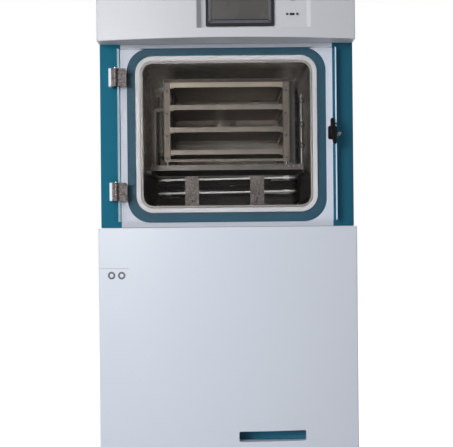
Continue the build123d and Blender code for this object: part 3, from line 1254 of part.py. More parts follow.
def radiator_tube_z():
    """Heights of the radiator's cross tubes, lowest first."""
    low = RADIATOR_Z - RADIATOR_HEIGHT / 2 + RADIATOR_TUBE_MARGIN
    rows = int(RADIATOR_HEIGHT // RADIATOR_TUBE_PITCH)
    return [low + i * RADIATOR_TUBE_PITCH for i in range(rows)]


def condenser_radiator():
    """Finned air-cooled radiator: end plates, fins on cross tubes."""
    x = RADIATOR_WIDTH / 2
    y0 = RADIATOR_Y
    y1 = y0 + RADIATOR_THICKNESS
    z0 = RADIATOR_Z - RADIATOR_HEIGHT / 2
    z1 = RADIATOR_Z + RADIATOR_HEIGHT / 2
    pieces = span(-x, -x + 3, y0, y1, FLOOR_PAN_Z, z1) + span(x - 3, x, y0, y1, FLOOR_PAN_Z, z1)
    pieces += span(-x, x, y0, y1, z1 - 2, z1)
    for z in radiator_tube_z():
        for y in (y0 + RADIATOR_TUBE_INSET, y1 - RADIATOR_TUBE_INSET):
            pieces += rod_x(RADIATOR_TUBE_RADIUS, -x, x, y, z)
    count = int((RADIATOR_WIDTH - 20) // FIN_PITCH)
    start = -count * FIN_PITCH / 2
    fins = []
    for i in range(count + 1):
        fx = start + i * FIN_PITCH
        fins.append(span(fx - FIN_SHEET / 2, fx + FIN_SHEET / 2, y0 + 1, y1 - 1, z0, z1 - 1))
    return pieces.fuse(*fins)


def fan_shroud():
    """Square shroud on the radiator's face with three struts and the fan motor."""
    x = RADIATOR_WIDTH / 2
    y0 = SHROUD_Y
    y1 = RADIATOR_Y
    z0 = RADIATOR_Z - RADIATOR_HEIGHT / 2
    z1 = RADIATOR_Z + RADIATOR_HEIGHT / 2
    shroud = span(-x, x, y0, y1, z0, z1)
    shroud -= span(-x + 3, x - 3, y0 + 3, y1, z0 + 3, z1 - 3)
    shroud -= rod_y(FAN_RADIUS + FAN_TIP_CLEARANCE, y0 - 1, y0 + 5, 0, RADIATOR_Z)
    ring = rod_y(FAN_RADIUS + FAN_TIP_CLEARANCE + 3, y0, y0 + 25, 0, RADIATOR_Z)
    ring -= rod_y(FAN_RADIUS + FAN_TIP_CLEARANCE, y0 - 1, y0 + 26, 0, RADIATOR_Z)
    shroud += ring
    motor_y = y0 - 12
    motor = rod_y(MOTOR_RADIUS, motor_y - MOTOR_LENGTH, motor_y, 0, RADIATOR_Z)
    motor += rod_y(FAN_SHAFT_RADIUS, motor_y, y0 + 22, 0, RADIATOR_Z)
    for i in range(3):
        strut = Box(FAN_RADIUS + FAN_TIP_CLEARANCE, 5, 14)
        strut = Pos((FAN_RADIUS + FAN_TIP_CLEARANCE) / 2 + 8, 0, 0) * strut
        strut = Pos(0, motor_y - 2.5, RADIATOR_Z) * Rot(0, 90 + 120 * i, 0) * strut
        motor += strut
        pad = Pos(FAN_RADIUS + FAN_TIP_CLEARANCE + 3, 0, 0) * Box(10, 12, 14)
        motor += Pos(0, motor_y + 6, RADIATOR_Z) * Rot(0, 90 + 120 * i, 0) * pad
    return shroud + motor


def fan_rotor():
    """Axial fan: hub with pitched blades."""
    y0 = SHROUD_Y
    hub = rod_y(FAN_HUB_RADIUS, y0 - 6, y0 + 20, 0, 0)
    hub = fillet(hub.edges().filter_by(GeomType.CIRCLE), 3)
    blade_length = FAN_RADIUS - FAN_HUB_RADIUS + 12
    for i in range(FAN_BLADES):
        blade = Box(blade_length, 3, 70)
        blade = fillet(blade.edges().filter_by(Axis.Y), 18)
        blade = Rot(24, 0, 0) * blade
        blade = Pos(FAN_HUB_RADIUS - 12 + blade_length / 2, y0 + 7, 0) * blade
        hub += Rot(0, 360 / FAN_BLADES * i, 0) * blade
    trim = rod_y(FAN_RADIUS, y0 - 20, y0 + 40, 0, 0)
    rotor = hub & trim
    rotor -= rod_y(FAN_SHAFT_RADIUS + PIN_CLEARANCE, y0 - 10, y0 + 30, 0, 0)
    return Pos(0, 0, RADIATOR_Z) * rotor


def electrical_box():
    """Steel terminal box on the rear panel, with a proud lid and cable glands on top."""
    x0 = INLET_X - BOX_WIDTH / 2
    x1 = INLET_X + BOX_WIDTH / 2
    y1 = REAR_PANEL_Y
    y0 = y1 - BOX_DEPTH
    z0 = FLOOR_PAN_Z
    z1 = z0 + BOX_HEIGHT
    box = span(x0, x1, y0, y1, z0, z1)
    box = fillet(box.edges().filter_by(Axis.Z), 4)
    box += span(x0 + 5, x1 - 5, y0 - 2, y0, z0 + 5, z1 - 5)
    for x in (x0 + 22, x1 - 22):
        box += extrude(Pos(x, y1 - BOX_DEPTH / 2, z1) * RegularPolygon(11, 6), amount=8)
        box += rod_z(8, z1 + 8, z1 + 18, x, y1 - BOX_DEPTH / 2)
    return box


def power_inlet():
    """Recessed mains inlet; no cord is fitted."""
    y0 = REAR_PANEL_Y + SHEET
    flange = front_plate_shape(INLET_WIDTH, INLET_HEIGHT, 4, INLET_Z, y0, y0 + 3, INLET_X)
    cup_w = INLET_WIDTH - 14
    cup_h = INLET_HEIGHT - 14
    cup = front_plate_shape(cup_w, cup_h, 4, INLET_Z, y0, y0 + 9, INLET_X)
    cup -= front_plate_shape(cup_w - 5, cup_h - 5, 3, INLET_Z, y0 + 2, y0 + 10, INLET_X)
    inlet = flange + cup - front_plate_shape(cup_w - 5, cup_h - 5, 3, INLET_Z, y0 + 2, y0 + 10, INLET_X)
    for dx in (-9, 0, 9):
        pin = Box(2.5, 6, 6)
        inlet += Pos(INLET_X + dx, y0 + 4, INLET_Z + (3 if dx == 0 else -3)) * pin
    return inlet


def refrigerant_pipes():
    """Copper lines: compressor to radiator, and the coil's end down to the compressor."""
    top = FLOOR_PAN_Z + COMPRESSOR_MOUNT + COMPRESSOR_HEIGHT
    y = COMPRESSOR_Y
    out = COMPRESSOR_X - DISCHARGE_OFFSET
    high = top + DISCHARGE_RISE
    end = (-RADIATOR_WIDTH / 2, RADIATOR_Y + RADIATOR_TUBE_INSET, high)
    discharge = [(out, y, top), (out, y, high), (out, end[1], high), end]
    lines = [pipe(discharge, PIPE_BEND, PIPE_RADIUS)]
    back = COMPRESSOR_X + SUCTION_OFFSET
    loop_y = LINE_END_Y + SUCTION_REACH
    low = CRADLE_Z - SUCTION_LOW_DROP
    suction = [(back, y, top), (back, y, low), (back, loop_y, low)]
    suction += [(-COIL_END_X, loop_y, CRADLE_Z - SUCTION_HIGH_DROP)]
    suction += [(-COIL_END_X, loop_y, coil_exit_z(-1)), (-COIL_END_X, LINE_END_Y, coil_exit_z(-1))]
    lines.append(pipe(suction, PIPE_BEND, PIPE_RADIUS))
    return Compound(children=lines)


def drain_pipe():
    """Defrost drain from the chamber floor to the outlet valve at the rear."""
    top = CHAMBER_BOTTOM - CHAMBER_WALL
    z = DRAIN_OUTLET_Z
    points = [(DRAIN_X, DRAIN_Y, top), (DRAIN_X, DRAIN_Y, z), (DRAIN_X, VALVE_Y, z)]
    return pipe(points, DRAIN_BEND, DRAIN_RADIUS + DRAIN_WALL, DRAIN_RADIUS)


def drain_valve_body():
    """Ball valve on the drain with a hose spigot, outside the rear panel."""
    y0 = VALVE_Y
    y1 = y0 + VALVE_LENGTH
    x = DRAIN_X
    z = DRAIN_OUTLET_Z
    body = rod_y(VALVE_RADIUS, y0, y1, x, z)
    body = chamfer(body.edges().filter_by(GeomType.CIRCLE), 2)
    body += rod_y(DRAIN_RADIUS + DRAIN_WALL, y1, y1 + SPIGOT_LENGTH, x, z)
    body -= rod_y(DRAIN_RADIUS, y0 - 1, y1 + 30, x, z)
    mid = (y0 + y1) / 2
    stem_top = z + VALVE_RADIUS + STEM_HEIGHT
    stem = rod_z(STEM_HEIGHT, z + VALVE_RADIUS - 3, stem_top, x, mid)
    return body + stem + rod_z(STEM_RADIUS, z + VALVE_RADIUS, stem_top + 6, x, mid)


def drain_valve_lever():
    """Flat lever of the drain valve, across the pipe when shut."""
    mid = VALVE_Y + VALVE_LENGTH / 2
    z0 = DRAIN_OUTLET_Z + VALVE_RADIUS + STEM_HEIGHT + AXIAL_CLEARANCE
    x = DRAIN_X
    half = LEVER_WIDTH / 2
    plate = span(x - half - 2, x + LEVER_LENGTH, mid - half, mid + half, z0, z0 + 3)
    plate = fillet(plate.edges().filter_by(Axis.Z), half - 0.5)
    return plate - rod_z(STEM_RADIUS + PIN_CLEARANCE, z0 - 1, z0 + 4, x, mid)


# ---- Castors and feet ----
def castor_top_plate(x, y):
    """The plate that a castor is bolted by, under the frame."""
    half_x = CASTOR_PLATE_LENGTH / 2
    half_y = CASTOR_PLATE_WIDTH / 2
    bottom = FRAME_BOTTOM - CASTOR_PLATE
    plate = span(x - half_x, x + half_x, y - half_y, y + half_y, bottom, FRAME_BOTTOM)
    return fillet(plate.edges().filter_by(Axis.Z), 6)


def castor_plate_set():
    """Front castor top plates with their kingpins."""
    plates = []
    for x in (-CASTOR_X, CASTOR_X):
        y = CASTOR_FRONT_Y
        plate = castor_top_plate(x, y)
        pin_end = FORK_TOP - FORK_SHEET - AXIAL_CLEARANCE
        plate += rod_z(KINGPIN_RADIUS, pin_end, FRAME_BOTTOM - CASTOR_PLATE, x, y)
        plate += rod_z(KINGPIN_RADIUS + 4, pin_end - 4, pin_end, x, y)
        plates.append(plate)
    return Compound(children=plates)


def fork(x, y, top):
    """Pressed castor fork: top plate, two raked cheeks and the axle bolt."""
    cheek_x = WHEEL_WIDTH / 2 + FORK_GAP
    half = cheek_x + FORK_SHEET
    axle_y = y + CASTOR_TRAIL
    body = Pos(x, y, top - FORK_SHEET / 2) * Box(2 * half, 2 * FORK_HALF_DEPTH, FORK_SHEET)
    outline = Polyline(
        (y - FORK_HALF_DEPTH, top),
        (y + FORK_HALF_DEPTH, top),
        (axle_y + 11, WHEEL_AXIS_Z),
        (axle_y - 4, WHEEL_AXIS_Z - 11),
        (axle_y - 12, WHEEL_AXIS_Z - 4),
        close=True,
    )
    cheek = Plane.YZ * make_face(outline)
    for start in (x - half, x + cheek_x):
        body += Pos(start, 0, 0) * extrude(cheek, amount=FORK_SHEET)
    body += rod_x(AXLE_RADIUS, x - half - 4, x + half + 4, axle_y, WHEEL_AXIS_Z)
    body += rod_x(AXLE_RADIUS + 3, x - half - 4, x - half, axle_y, WHEEL_AXIS_Z)
    return body + rod_x(AXLE_RADIUS + 3, x + half, x + half + 4, axle_y, WHEEL_AXIS_Z)


def front_castor_fork(side):
    """Swivel fork that hangs on its kingpin."""
    x = side * CASTOR_X
    body = fork(x, CASTOR_FRONT_Y, FORK_TOP)
    return body - rod_z(KINGPIN_RADIUS + PIN_CLEARANCE, FORK_TOP - 10, FORK_TOP + 1, x, CASTOR_FRONT_Y)


def rear_castor_brackets():
    """Rigid rear castor forks with their plates welded on."""
    brackets = []
    for x in (-CASTOR_X, CASTOR_X):
        y = CASTOR_REAR_Y
        plate = castor_top_plate(x, y)
        brackets.append(plate + fork(x, y - CASTOR_TRAIL, FRAME_BOTTOM - CASTOR_PLATE))
    return Compound(children=brackets)


def castor_wheel(x, axle_y):
    """Wheel with a rounded tread and a bored hub."""
    half = WHEEL_WIDTH / 2
    wheel = rod_x(WHEEL_RADIUS, x - half, x + half, axle_y, WHEEL_AXIS_Z)
    wheel = fillet(wheel.edges().filter_by(GeomType.CIRCLE), 4)
    for end in (x - half - 1, x + half - 4):
        ring = rod_x(WHEEL_RADIUS - 9, end, end + 5, axle_y, WHEEL_AXIS_Z)
        ring -= rod_x(AXLE_RADIUS + 7, end, end + 5, axle_y, WHEEL_AXIS_Z)
        wheel -= ring
    return wheel - rod_x(AXLE_RADIUS + PIN_CLEARANCE, x - half - 1, x + half + 1, axle_y, WHEEL_AXIS_Z)


def levelling_feet():
    """Four screw feet wound down so that the cabinet stands on them, clear of its castors."""
    feet = []
    for x in (-FOOT_X, FOOT_X):
        for y in (FOOT_FRONT_Y, FOOT_REAR_Y):
            pad = rod_z(FOOT_PAD_RADIUS, 0, FOOT_PAD_HEIGHT, x, y)
            pad = fillet(pad.edges().filter_by(GeomType.CIRCLE).sort_by(Axis.Z)[-1], 4)
            pad += rod_z(FOOT_STUD_RADIUS, FOOT_PAD_HEIGHT, FRAME_BOTTOM + FOOT_STUD_RISE, x, y)
            nut = Pos(x, y, FRAME_BOTTOM - FOOT_NUT_HEIGHT) * RegularPolygon(FOOT_NUT_RADIUS, 6)
            nut = extrude(nut, amount=FOOT_NUT_HEIGHT)
            feet.append(pad + nut)
    return Compound(children=feet)


# ---- The pieces, one file each ----
def pieces():
    """Every piece of the freeze dryer by name."""
    made = {
        "main_frame": main_frame(),
        "left_side_panel": side_panel(-1),
        "right_side_panel": side_panel(1),
        "rear_panel": rear_panel(),
        "top_panel": top_panel(),
        "head_cover": head_cover(),
        "lower_front_cover": lower_front_cover(),
        "lower_backing_panel": lower_backing_panel(),
        "cover_catches": cover_catches(),
        "front_plate": front_plate(),
        "chamber_surround": chamber_surround(),
        "left_front_post": front_post(-1),
        "right_front_post": front_post(1),
        "vacuum_chamber": vacuum_chamber(),
        "chamber_jacket": chamber_jacket(),
        "door_gasket": door_gasket(),
        "vacuum_port": vacuum_port(),
        "shelf_rack": shelf_rack(),
        "shelf_hoses": shelf_hoses(),
        "probe_rail": probe_rail(),
        "baffle_plate": baffle_plate(),
        "condenser_coil": condenser_coil(),
        "coil_brackets": coil_brackets(),
        "panel_screws": panel_screws(),
        "door_pane": door_pane(),
        "post_hinge_leaves": post_hinge_leaves(),
        "door_hinge_leaves": door_hinge_leaves(),
        "hinge_pins": hinge_pins(),
        "latch_housing": latch_housing(),
        "latch_handle": latch_handle(),
        "latch_cam": latch_cam(),
        "striker_stud": striker_stud(),
        "touchscreen": touchscreen(),
        "usb_socket": usb_socket(),
        "button_collar": button_collar(),
        "power_button": power_button(),
        "compressor": compressor(),
        "fluid_heater": fluid_heater(),
        "condenser_radiator": condenser_radiator(),
        "fan_shroud": fan_shroud(),
        "fan_rotor": fan_rotor(),
        "electrical_box": electrical_box(),
        "power_inlet": power_inlet(),
        "refrigerant_pipes": refrigerant_pipes(),
        "drain_pipe": drain_pipe(),
        "drain_valve_body": drain_valve_body(),
        "drain_valve_lever": drain_valve_lever(),
        "castor_plates": castor_plate_set(),
        "front_left_fork": front_castor_fork(-1),
        "front_right_fork": front_castor_fork(1),
        "rear_castor_brackets": rear_castor_brackets(),
        "levelling_feet": levelling_feet(),
    }
    for i, z in enumerate(SHELF_PLACES):
        made[f"shelf_{i + 1}"] = shelf(z)
    front_axle = CASTOR_FRONT_Y + CASTOR_TRAIL
    for side, name in ((-1, "left"), (1, "right")):
        made[f"front_{name}_wheel"] = castor_wheel(side * CASTOR_X, front_axle)
        made[f"rear_{name}_wheel"] = castor_wheel(side * CASTOR_X, CASTOR_REAR_Y)
    return made


os.makedirs("parts", exist_ok=True)
for piece_name, piece in pieces().items():
    export_step(piece, f"parts/{piece_name}.step")
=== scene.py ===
import math

import bmesh
import bpy
from mathutils import Matrix, Vector


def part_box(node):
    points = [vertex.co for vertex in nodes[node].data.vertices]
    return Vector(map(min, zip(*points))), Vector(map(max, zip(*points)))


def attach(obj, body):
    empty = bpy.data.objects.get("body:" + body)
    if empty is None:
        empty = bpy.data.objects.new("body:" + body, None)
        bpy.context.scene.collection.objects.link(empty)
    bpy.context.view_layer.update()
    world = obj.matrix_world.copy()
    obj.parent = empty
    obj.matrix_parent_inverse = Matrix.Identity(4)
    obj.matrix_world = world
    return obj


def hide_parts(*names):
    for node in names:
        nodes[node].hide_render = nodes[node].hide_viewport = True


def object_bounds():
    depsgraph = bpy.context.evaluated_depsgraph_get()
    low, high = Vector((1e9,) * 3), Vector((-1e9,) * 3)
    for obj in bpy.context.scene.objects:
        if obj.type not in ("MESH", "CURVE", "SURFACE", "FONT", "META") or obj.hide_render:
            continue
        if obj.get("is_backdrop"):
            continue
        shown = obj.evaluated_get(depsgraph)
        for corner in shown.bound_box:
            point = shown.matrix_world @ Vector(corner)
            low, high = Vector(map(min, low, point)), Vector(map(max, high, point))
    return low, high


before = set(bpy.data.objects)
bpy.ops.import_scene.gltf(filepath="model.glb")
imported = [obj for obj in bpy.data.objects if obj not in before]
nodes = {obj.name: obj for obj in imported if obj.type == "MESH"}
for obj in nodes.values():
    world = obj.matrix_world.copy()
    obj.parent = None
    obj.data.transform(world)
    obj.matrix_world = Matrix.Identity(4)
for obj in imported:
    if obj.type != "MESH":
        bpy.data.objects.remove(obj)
cad_low, cad_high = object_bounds()

# ---- Camera ----
# Level, square to the front and a little above the middle of the whole dryer. Its long
# lens keeps the upright edges straight.
camera_distance = 2.657
camera_height = 0.830
camera_roll = math.radians(0.55)
bpy.ops.object.camera_add(
    location=(0.0, cad_low.y - camera_distance, camera_height),
    rotation=(math.radians(90), camera_roll, 0),
)
camera = bpy.context.object
camera.data.sensor_width = 36.0
camera.data.lens = 71.28
camera.data.shift_x = -0.0025
camera.data.shift_y = 0.0033
bpy.context.scene.camera = camera
bpy.context.scene.view_settings.view_transform = "Standard"

# ---- Studio ----
# A pale floor that shows white behind the dryer and keeps its shadow, a white surround,
# a large soft key lamp on the left, a weak fill on the right and a wide lamp above.
bpy.ops.mesh.primitive_plane_add(size=12, location=(0, 0, -0.001))
floor = bpy.context.object
floor.name = "studio_floor"
floor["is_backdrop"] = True


def start_material(name):
    """An empty Principled material with Object coordinates ready."""
    material = bpy.data.materials.new(name)
    material.use_nodes = True
    tree = material.node_tree
    place = tree.nodes.new("ShaderNodeTexCoord")
    return material, tree, tree.nodes["Principled BSDF"], place.outputs["Object"]


def along(tree, place, axis):
    """How far a position lies along one axis."""
    split = tree.nodes.new("ShaderNodeSeparateXYZ")
    tree.links.new(place, split.inputs[0])
    return split.outputs[axis]


def spread(tree, value, low, high, start=0.3, end=0.7):
    """A value read between two ends and spread between two limits."""
    node = tree.nodes.new("ShaderNodeMapRange")
    node.inputs["From Min"].default_value = start
    node.inputs["From Max"].default_value = end
    node.inputs["To Min"].default_value = low
    node.inputs["To Max"].default_value = high
    tree.links.new(value, node.inputs["Value"])
    return node.outputs[0]


def combine(tree, operation, first, second):
    """Two values, or a value and a number, put together."""
    node = tree.nodes.new("ShaderNodeMath")
    node.operation = operation
    for socket, value in zip(node.inputs, (first, second)):
        if isinstance(value, (int, float)):
            socket.default_value = value
        else:
            tree.links.new(value, socket)
    return node.outputs[0]


def make_floor_paint():
    """Pale grey paint, lifted to white for the camera and, behind the dryer, for glass and metal."""
    material, tree, shader, place = start_material("studio_floor_paint")
    shader.inputs["Base Color"].default_value = (0.62, 0.62, 0.63, 1)
    shader.inputs["Roughness"].default_value = 0.6
    path = tree.nodes.new("ShaderNodeLightPath").outputs
    behind = spread(tree, along(tree, place, "Y"), 0.0, 1.0, -0.5, 0.5)
    mirrored = combine(tree, "MAXIMUM", path["Is Glossy Ray"], path["Is Transmission Ray"])
    far = combine(tree, "MULTIPLY", mirrored, behind)
    seen = combine(tree, "MAXIMUM", path["Is Camera Ray"], far)
    shader.inputs["Emission Color"].default_value = (1, 1, 1, 1)
    tree.links.new(combine(tree, "MULTIPLY", seen, 0.80), shader.inputs["Emission Strength"])
    return material


floor.data.materials.append(make_floor_paint())


def choose(tree, switch, off, on):
    """One value where the switch is 0 and the other, a value or a number, where it is 1."""
    node = tree.nodes.new("ShaderNodeMix")
    node.data_type = "FLOAT"
    tree.links.new(switch, node.inputs[0])
    tree.links.new(off, node.inputs[2])
    if isinstance(on, float):
        node.inputs[3].default_value = on
    else:
        tree.links.new(on, node.inputs[3])
    return node.outputs[0]


def make_surround():
    """White behind the dryer for camera, glass and metal; what it lights, it lights softly."""
    world = bpy.data.worlds.new("studio")
    bpy.context.scene.world = world
    world.use_nodes = True
    tree = world.node_tree
    back = tree.nodes["Background"]
    path = tree.nodes.new("ShaderNodeLightPath").outputs
    way = tree.nodes.new("ShaderNodeTexCoord").outputs["Generated"]
    behind = spread(tree, along(tree, way, "Y"), 0.20, 1.0, -0.2, 0.25)
    aside = spread(tree, along(tree, way, "X"), 0.46, 0.40, -1.0, 1.0)
    seen = choose(tree, path["Is Camera Ray"], behind, 1.0)
    tree.links.new(choose(tree, path["Is Diffuse Ray"], seen, aside), back.inputs["Strength"])
    back.inputs["Color"].default_value = (1, 1, 1, 1)


make_surround()


def soft_light(name, place, target, size, power, cone=180):
    """An area light that faces its target; a small cone, in degrees, keeps it to the middle."""
    bpy.ops.object.light_add(type="AREA", location=place)
    light = bpy.context.object
    light.name = name
    light.data.shape = "RECTANGLE"
    light.data.size = size[0]
    light.data.size_y = size[1]
    light.data.energy = power
    light.data.spread = math.radians(cone)
    aim = Vector(target) - Vector(place)
    light.rotation_euler = aim.to_track_quat("-Z", "Y").to_euler()


soft_light("key_light", (-2.05, -3.6, 1.62), (0.30, -0.45, 0.88), (1.7, 1.6), 18.6, 74)
soft_light("fill_light", (2.8, -3.0, 1.6), (0, -0.3, 0.8), (2.0, 2.0), 3)
soft_light("top_light", (0, 0.2, 3.6), (0, 0, 1.0), (2.4, 2.4), 22)


# ---- Welded frame and machine bay boxes ----
# Square steel tube and folded sheet in grey stove enamel: the frame, the electrical box
# and the fan's shroud. They are seen through the louvres and with the lower cover off.
def surface_group(name, outputs):
    """A node group that takes a position and some values and gives the named outputs."""
    tree = bpy.data.node_groups.new(name, "ShaderNodeTree")
    tree.interface.new_socket("Vector", in_out="INPUT", socket_type="NodeSocketVector")
    for socket in outputs:
        tree.interface.new_socket(socket, in_out="OUTPUT", socket_type="NodeSocketFloat")
    tree.nodes.new("NodeGroupInput")
    tree.nodes.new("NodeGroupOutput")
    return tree


def group_value(tree, name, default):
    """Adds a named number input to a group."""
    socket = tree.interface.new_socket(name, in_out="INPUT", socket_type="NodeSocketFloat")
    socket.default_value = default


def noise(tree, vector, scale, detail=2.0, distortion=0.0):
    """A cloud pattern on a position."""
    node = tree.nodes.new("ShaderNodeTexNoise")
    node.inputs["Scale"].default_value = scale
    node.inputs["Detail"].default_value = detail
    node.inputs["Distortion"].default_value = distortion
    tree.links.new(vector, node.inputs["Vector"])
    return node.outputs["Fac"]


def make_paint_group():
    """Paint film: faint mottling of the shade, soft gloss changes and a fine orange-peel."""
    tree = surface_group("paint_film", ["Shade", "Gloss", "Height"])
    group_value(tree, "Mottle", 0.03)
    group_value(tree, "Peel Scale", 500.0)
    group_value(tree, "Roughness", 0.35)
    into = tree.nodes["Group Input"]
    out = tree.nodes["Group Output"]
    cloud = combine(tree, "SUBTRACT", noise(tree, into.outputs["Vector"], 5.0, 3.0), 0.5)
    shade = combine(tree, "ADD", combine(tree, "MULTIPLY", cloud, into.outputs["Mottle"]), 1.0)
    tree.links.new(shade, out.inputs["Shade"])
    streak = combine(tree, "MULTIPLY", noise(tree, into.outputs["Vector"], 14.0), 0.08)
    gloss = combine(tree, "ADD", streak, into.outputs["Roughness"])
    tree.links.new(gloss, out.inputs["Gloss"])
    peel = tree.nodes.new("ShaderNodeTexNoise")
    peel.inputs["Detail"].default_value = 2.0
    tree.links.new(into.outputs["Vector"], peel.inputs["Vector"])
    tree.links.new(into.outputs["Peel Scale"], peel.inputs["Scale"])
    tree.links.new(peel.outputs["Fac"], out.inputs["Height"])
    return tree


def make_edge_group():
    """Mask that is 1 along edges, broken up so that wear looks uneven."""
    tree = surface_group("edge_wear", ["Mask"])
    group_value(tree, "Radius", 0.002)
    group_value(tree, "Amount", 1.0)
    into = tree.nodes["Group Input"]
    rounded = tree.nodes.new("ShaderNodeBevel")
    rounded.samples = 4
    tree.links.new(into.outputs["Radius"], rounded.inputs["Radius"])
    flat = tree.nodes.new("ShaderNodeNewGeometry")
    match = tree.nodes.new("ShaderNodeVectorMath")
    match.operation = "DOT_PRODUCT"
    tree.links.new(rounded.outputs["Normal"], match.inputs[0])
    tree.links.new(flat.outputs["Normal"], match.inputs[1])
    turned = spread(tree, match.outputs["Value"], 0.0, 1.0, 0.995, 0.80)
    chips = spread(tree, noise(tree, into.outputs["Vector"], 60.0), 0.0, 1.0, 0.42, 0.62)
    worn = combine(tree, "MULTIPLY", turned, chips)
    worn = combine(tree, "MULTIPLY", worn, into.outputs["Amount"])
    tree.links.new(worn, tree.nodes["Group Output"].inputs["Mask"])
    return tree


paint_film = make_paint_group()
edge_wear = make_edge_group()


def place_group(tree, group, vector, **values):
    """Puts a shared group in a material with its own values."""
    node = tree.nodes.new("ShaderNodeGroup")
    node.node_tree = group
    tree.links.new(vector, node.inputs["Vector"])
    for name, value in values.items():
        node.inputs[name.replace("_", " ")].default_value = value
    return node


def tint(tree, colour, factor):
    """A colour multiplied by a changing factor."""
    mix = tree.nodes.new("ShaderNodeVectorMath")
    mix.operation = "SCALE"
    if isinstance(colour, tuple):
        mix.inputs[0].default_value = colour
    else:
        tree.links.new(colour, mix.inputs[0])
    tree.links.new(factor, mix.inputs["Scale"])
    return mix.outputs[0]


def fade(tree, low, high, factor):
    """A mix from one colour to another; each is a socket or a plain colour."""
    mix = tree.nodes.new("ShaderNodeMix")
    mix.data_type = "RGBA"
    tree.links.new(factor, mix.inputs[0])
    for socket, value in ((mix.inputs[6], low), (mix.inputs[7], high)):
        if isinstance(value, tuple):
            socket.default_value = (*value, 1)
        else:
            tree.links.new(value, socket)
    return mix.outputs[2]


def bump(tree, height, distance):
    """A bump node fed with a height."""
    node = tree.nodes.new("ShaderNodeBump")
    node.inputs["Distance"].default_value = distance
    tree.links.new(height, node.inputs["Height"])
    return node.outputs[0]


def paint(
    name, colour, worn, roughness=0.34, mottle=0.03, peel=500.0, wear=0.5, depth=0.00002, shine=0.5
):
    """Sprayed and baked paint, or a moulded skin: its colour, and the paler one on worn edges."""
    material, tree, shader, place = start_material(name)
    film = place_group(tree, paint_film, place, Mottle=mottle, Peel_Scale=peel, Roughness=roughness)
    edge = place_group(tree, edge_wear, place, Radius=0.0015, Amount=wear)
    shade = tint(tree, colour, film.outputs["Shade"])
    tree.links.new(fade(tree, shade, worn, edge.outputs["Mask"]), shader.inputs["Base Color"])
    tree.links.new(film.outputs["Gloss"], shader.inputs["Roughness"])
    tree.links.new(bump(tree, film.outputs["Height"], depth), shader.inputs["Normal"])
    shader.inputs["Specular IOR Level"].default_value = shine
    return material


def dress(material, *names):
    """Gives carried-over pieces their material."""
    for name in names:
        nodes[name].data.materials.clear()
        nodes[name].data.materials.append(material)


frame_paint = paint(
    "frame_paint", (0.20, 0.21, 0.22), (0.42, 0.43, 0.44), 0.5, 0.06, 260.0, wear=0.8, depth=0.00006
)
dress(frame_paint, "main_frame", "electrical_box", "fan_shroud")

# ---- Outer panels ----
# Folded steel sheet with pressed louvres, pale blue-white powder coat: sides, back and top.
# Zinc plated button screws hold the back panel by its turned edges.
panel_paint = paint(
    "panel_paint", (0.64, 0.67, 0.73), (0.78, 0.80, 0.83), 0.45, 0.04, 320.0, wear=0.4, depth=0.00005
)
dress(panel_paint, "left_side_panel", "right_side_panel", "rear_panel", "top_panel")


def begin(piece):
    """Selects one piece alone, so that operators act on nothing else."""
    bpy.ops.object.select_all(action="DESELECT")
    piece.select_set(True)
    bpy.context.view_layer.objects.active = piece


def shape_from(add, stretch=(1, 1, 1), **measures):
    """A new piece, added alone, with its place, turn and size put in its mesh."""
    bpy.ops.object.select_all(action="DESELECT")
    add(**measures)
    piece = bpy.context.object
    piece.scale = stretch
    bpy.ops.object.transform_apply(location=True, rotation=True, scale=True)
    return piece


def settle(piece, name, material, body):
    """Puts a finished piece's place in its mesh and gives it its name, finish and body."""
    begin(piece)
    bpy.ops.object.transform_apply(location=True, rotation=True, scale=True)
    piece.name = name
    if not piece.data.materials:
        piece.data.materials.append(material)
    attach(piece, body)


def pick(piece, kind, test):
    """Selects the faces, edges or verts of the piece in edit mode that pass a test."""
    bpy.ops.mesh.select_mode(type={"faces": "FACE", "edges": "EDGE", "verts": "VERT"}[kind])
    bpy.ops.mesh.select_all(action="DESELECT")
    mesh = bmesh.from_edit_mesh(piece.data)
    for item in getattr(mesh, kind):
        if test(item):
            item.select_set(True)
    mesh.select_flush_mode()
    bmesh.update_edit_mesh(piece.data)


def cap_screw(radius, height, front):
    """A button-head screw along Y with a round socket, its seat at Y = 0."""
    screw = shape_from(
        bpy.ops.mesh.primitive_cylinder_add, vertices=24, radius=radius, depth=height,
        location=(0, front * height / 2, 0), rotation=(math.radians(90), 0, 0),
    )
    bpy.ops.object.mode_set(mode="EDIT")
    pick(screw, "faces", lambda f: f.normal.y * front > 0.9)
    bpy.ops.mesh.inset(thickness=radius * 0.30)
    bpy.ops.mesh.inset(thickness=radius * 0.18)
    bpy.ops.mesh.extrude_region_move(TRANSFORM_OT_translate={"value": (0, -front * height * 0.45, 0)})
    pick(screw, "edges", lambda e: all(abs(v.co.y * front - height) < 1e-6 for v in e.verts)
         and all(abs(math.hypot(v.co.x, v.co.z) - radius) < 1e-5 for v in e.verts))
    bpy.ops.mesh.bevel(offset=radius * 0.26, segments=3, affect="EDGES")
    bpy.ops.object.mode_set(mode="OBJECT")
    bpy.ops.object.shade_smooth_by_angle(angle=math.radians(35))
    return screw


def set_copies(piece, places, name, material, body):
    """Copies a finished small piece to each place, each copy with its own mesh."""
    for number, place in enumerate(places, 1):
        copy = piece.copy()
        copy.data = piece.data.copy()
        copy.data.transform(Matrix.Translation(Vector(place)))
        bpy.context.collection.objects.link(copy)
        settle(copy, f"{name}_{number}", material, body)
    bpy.data.objects.remove(piece)


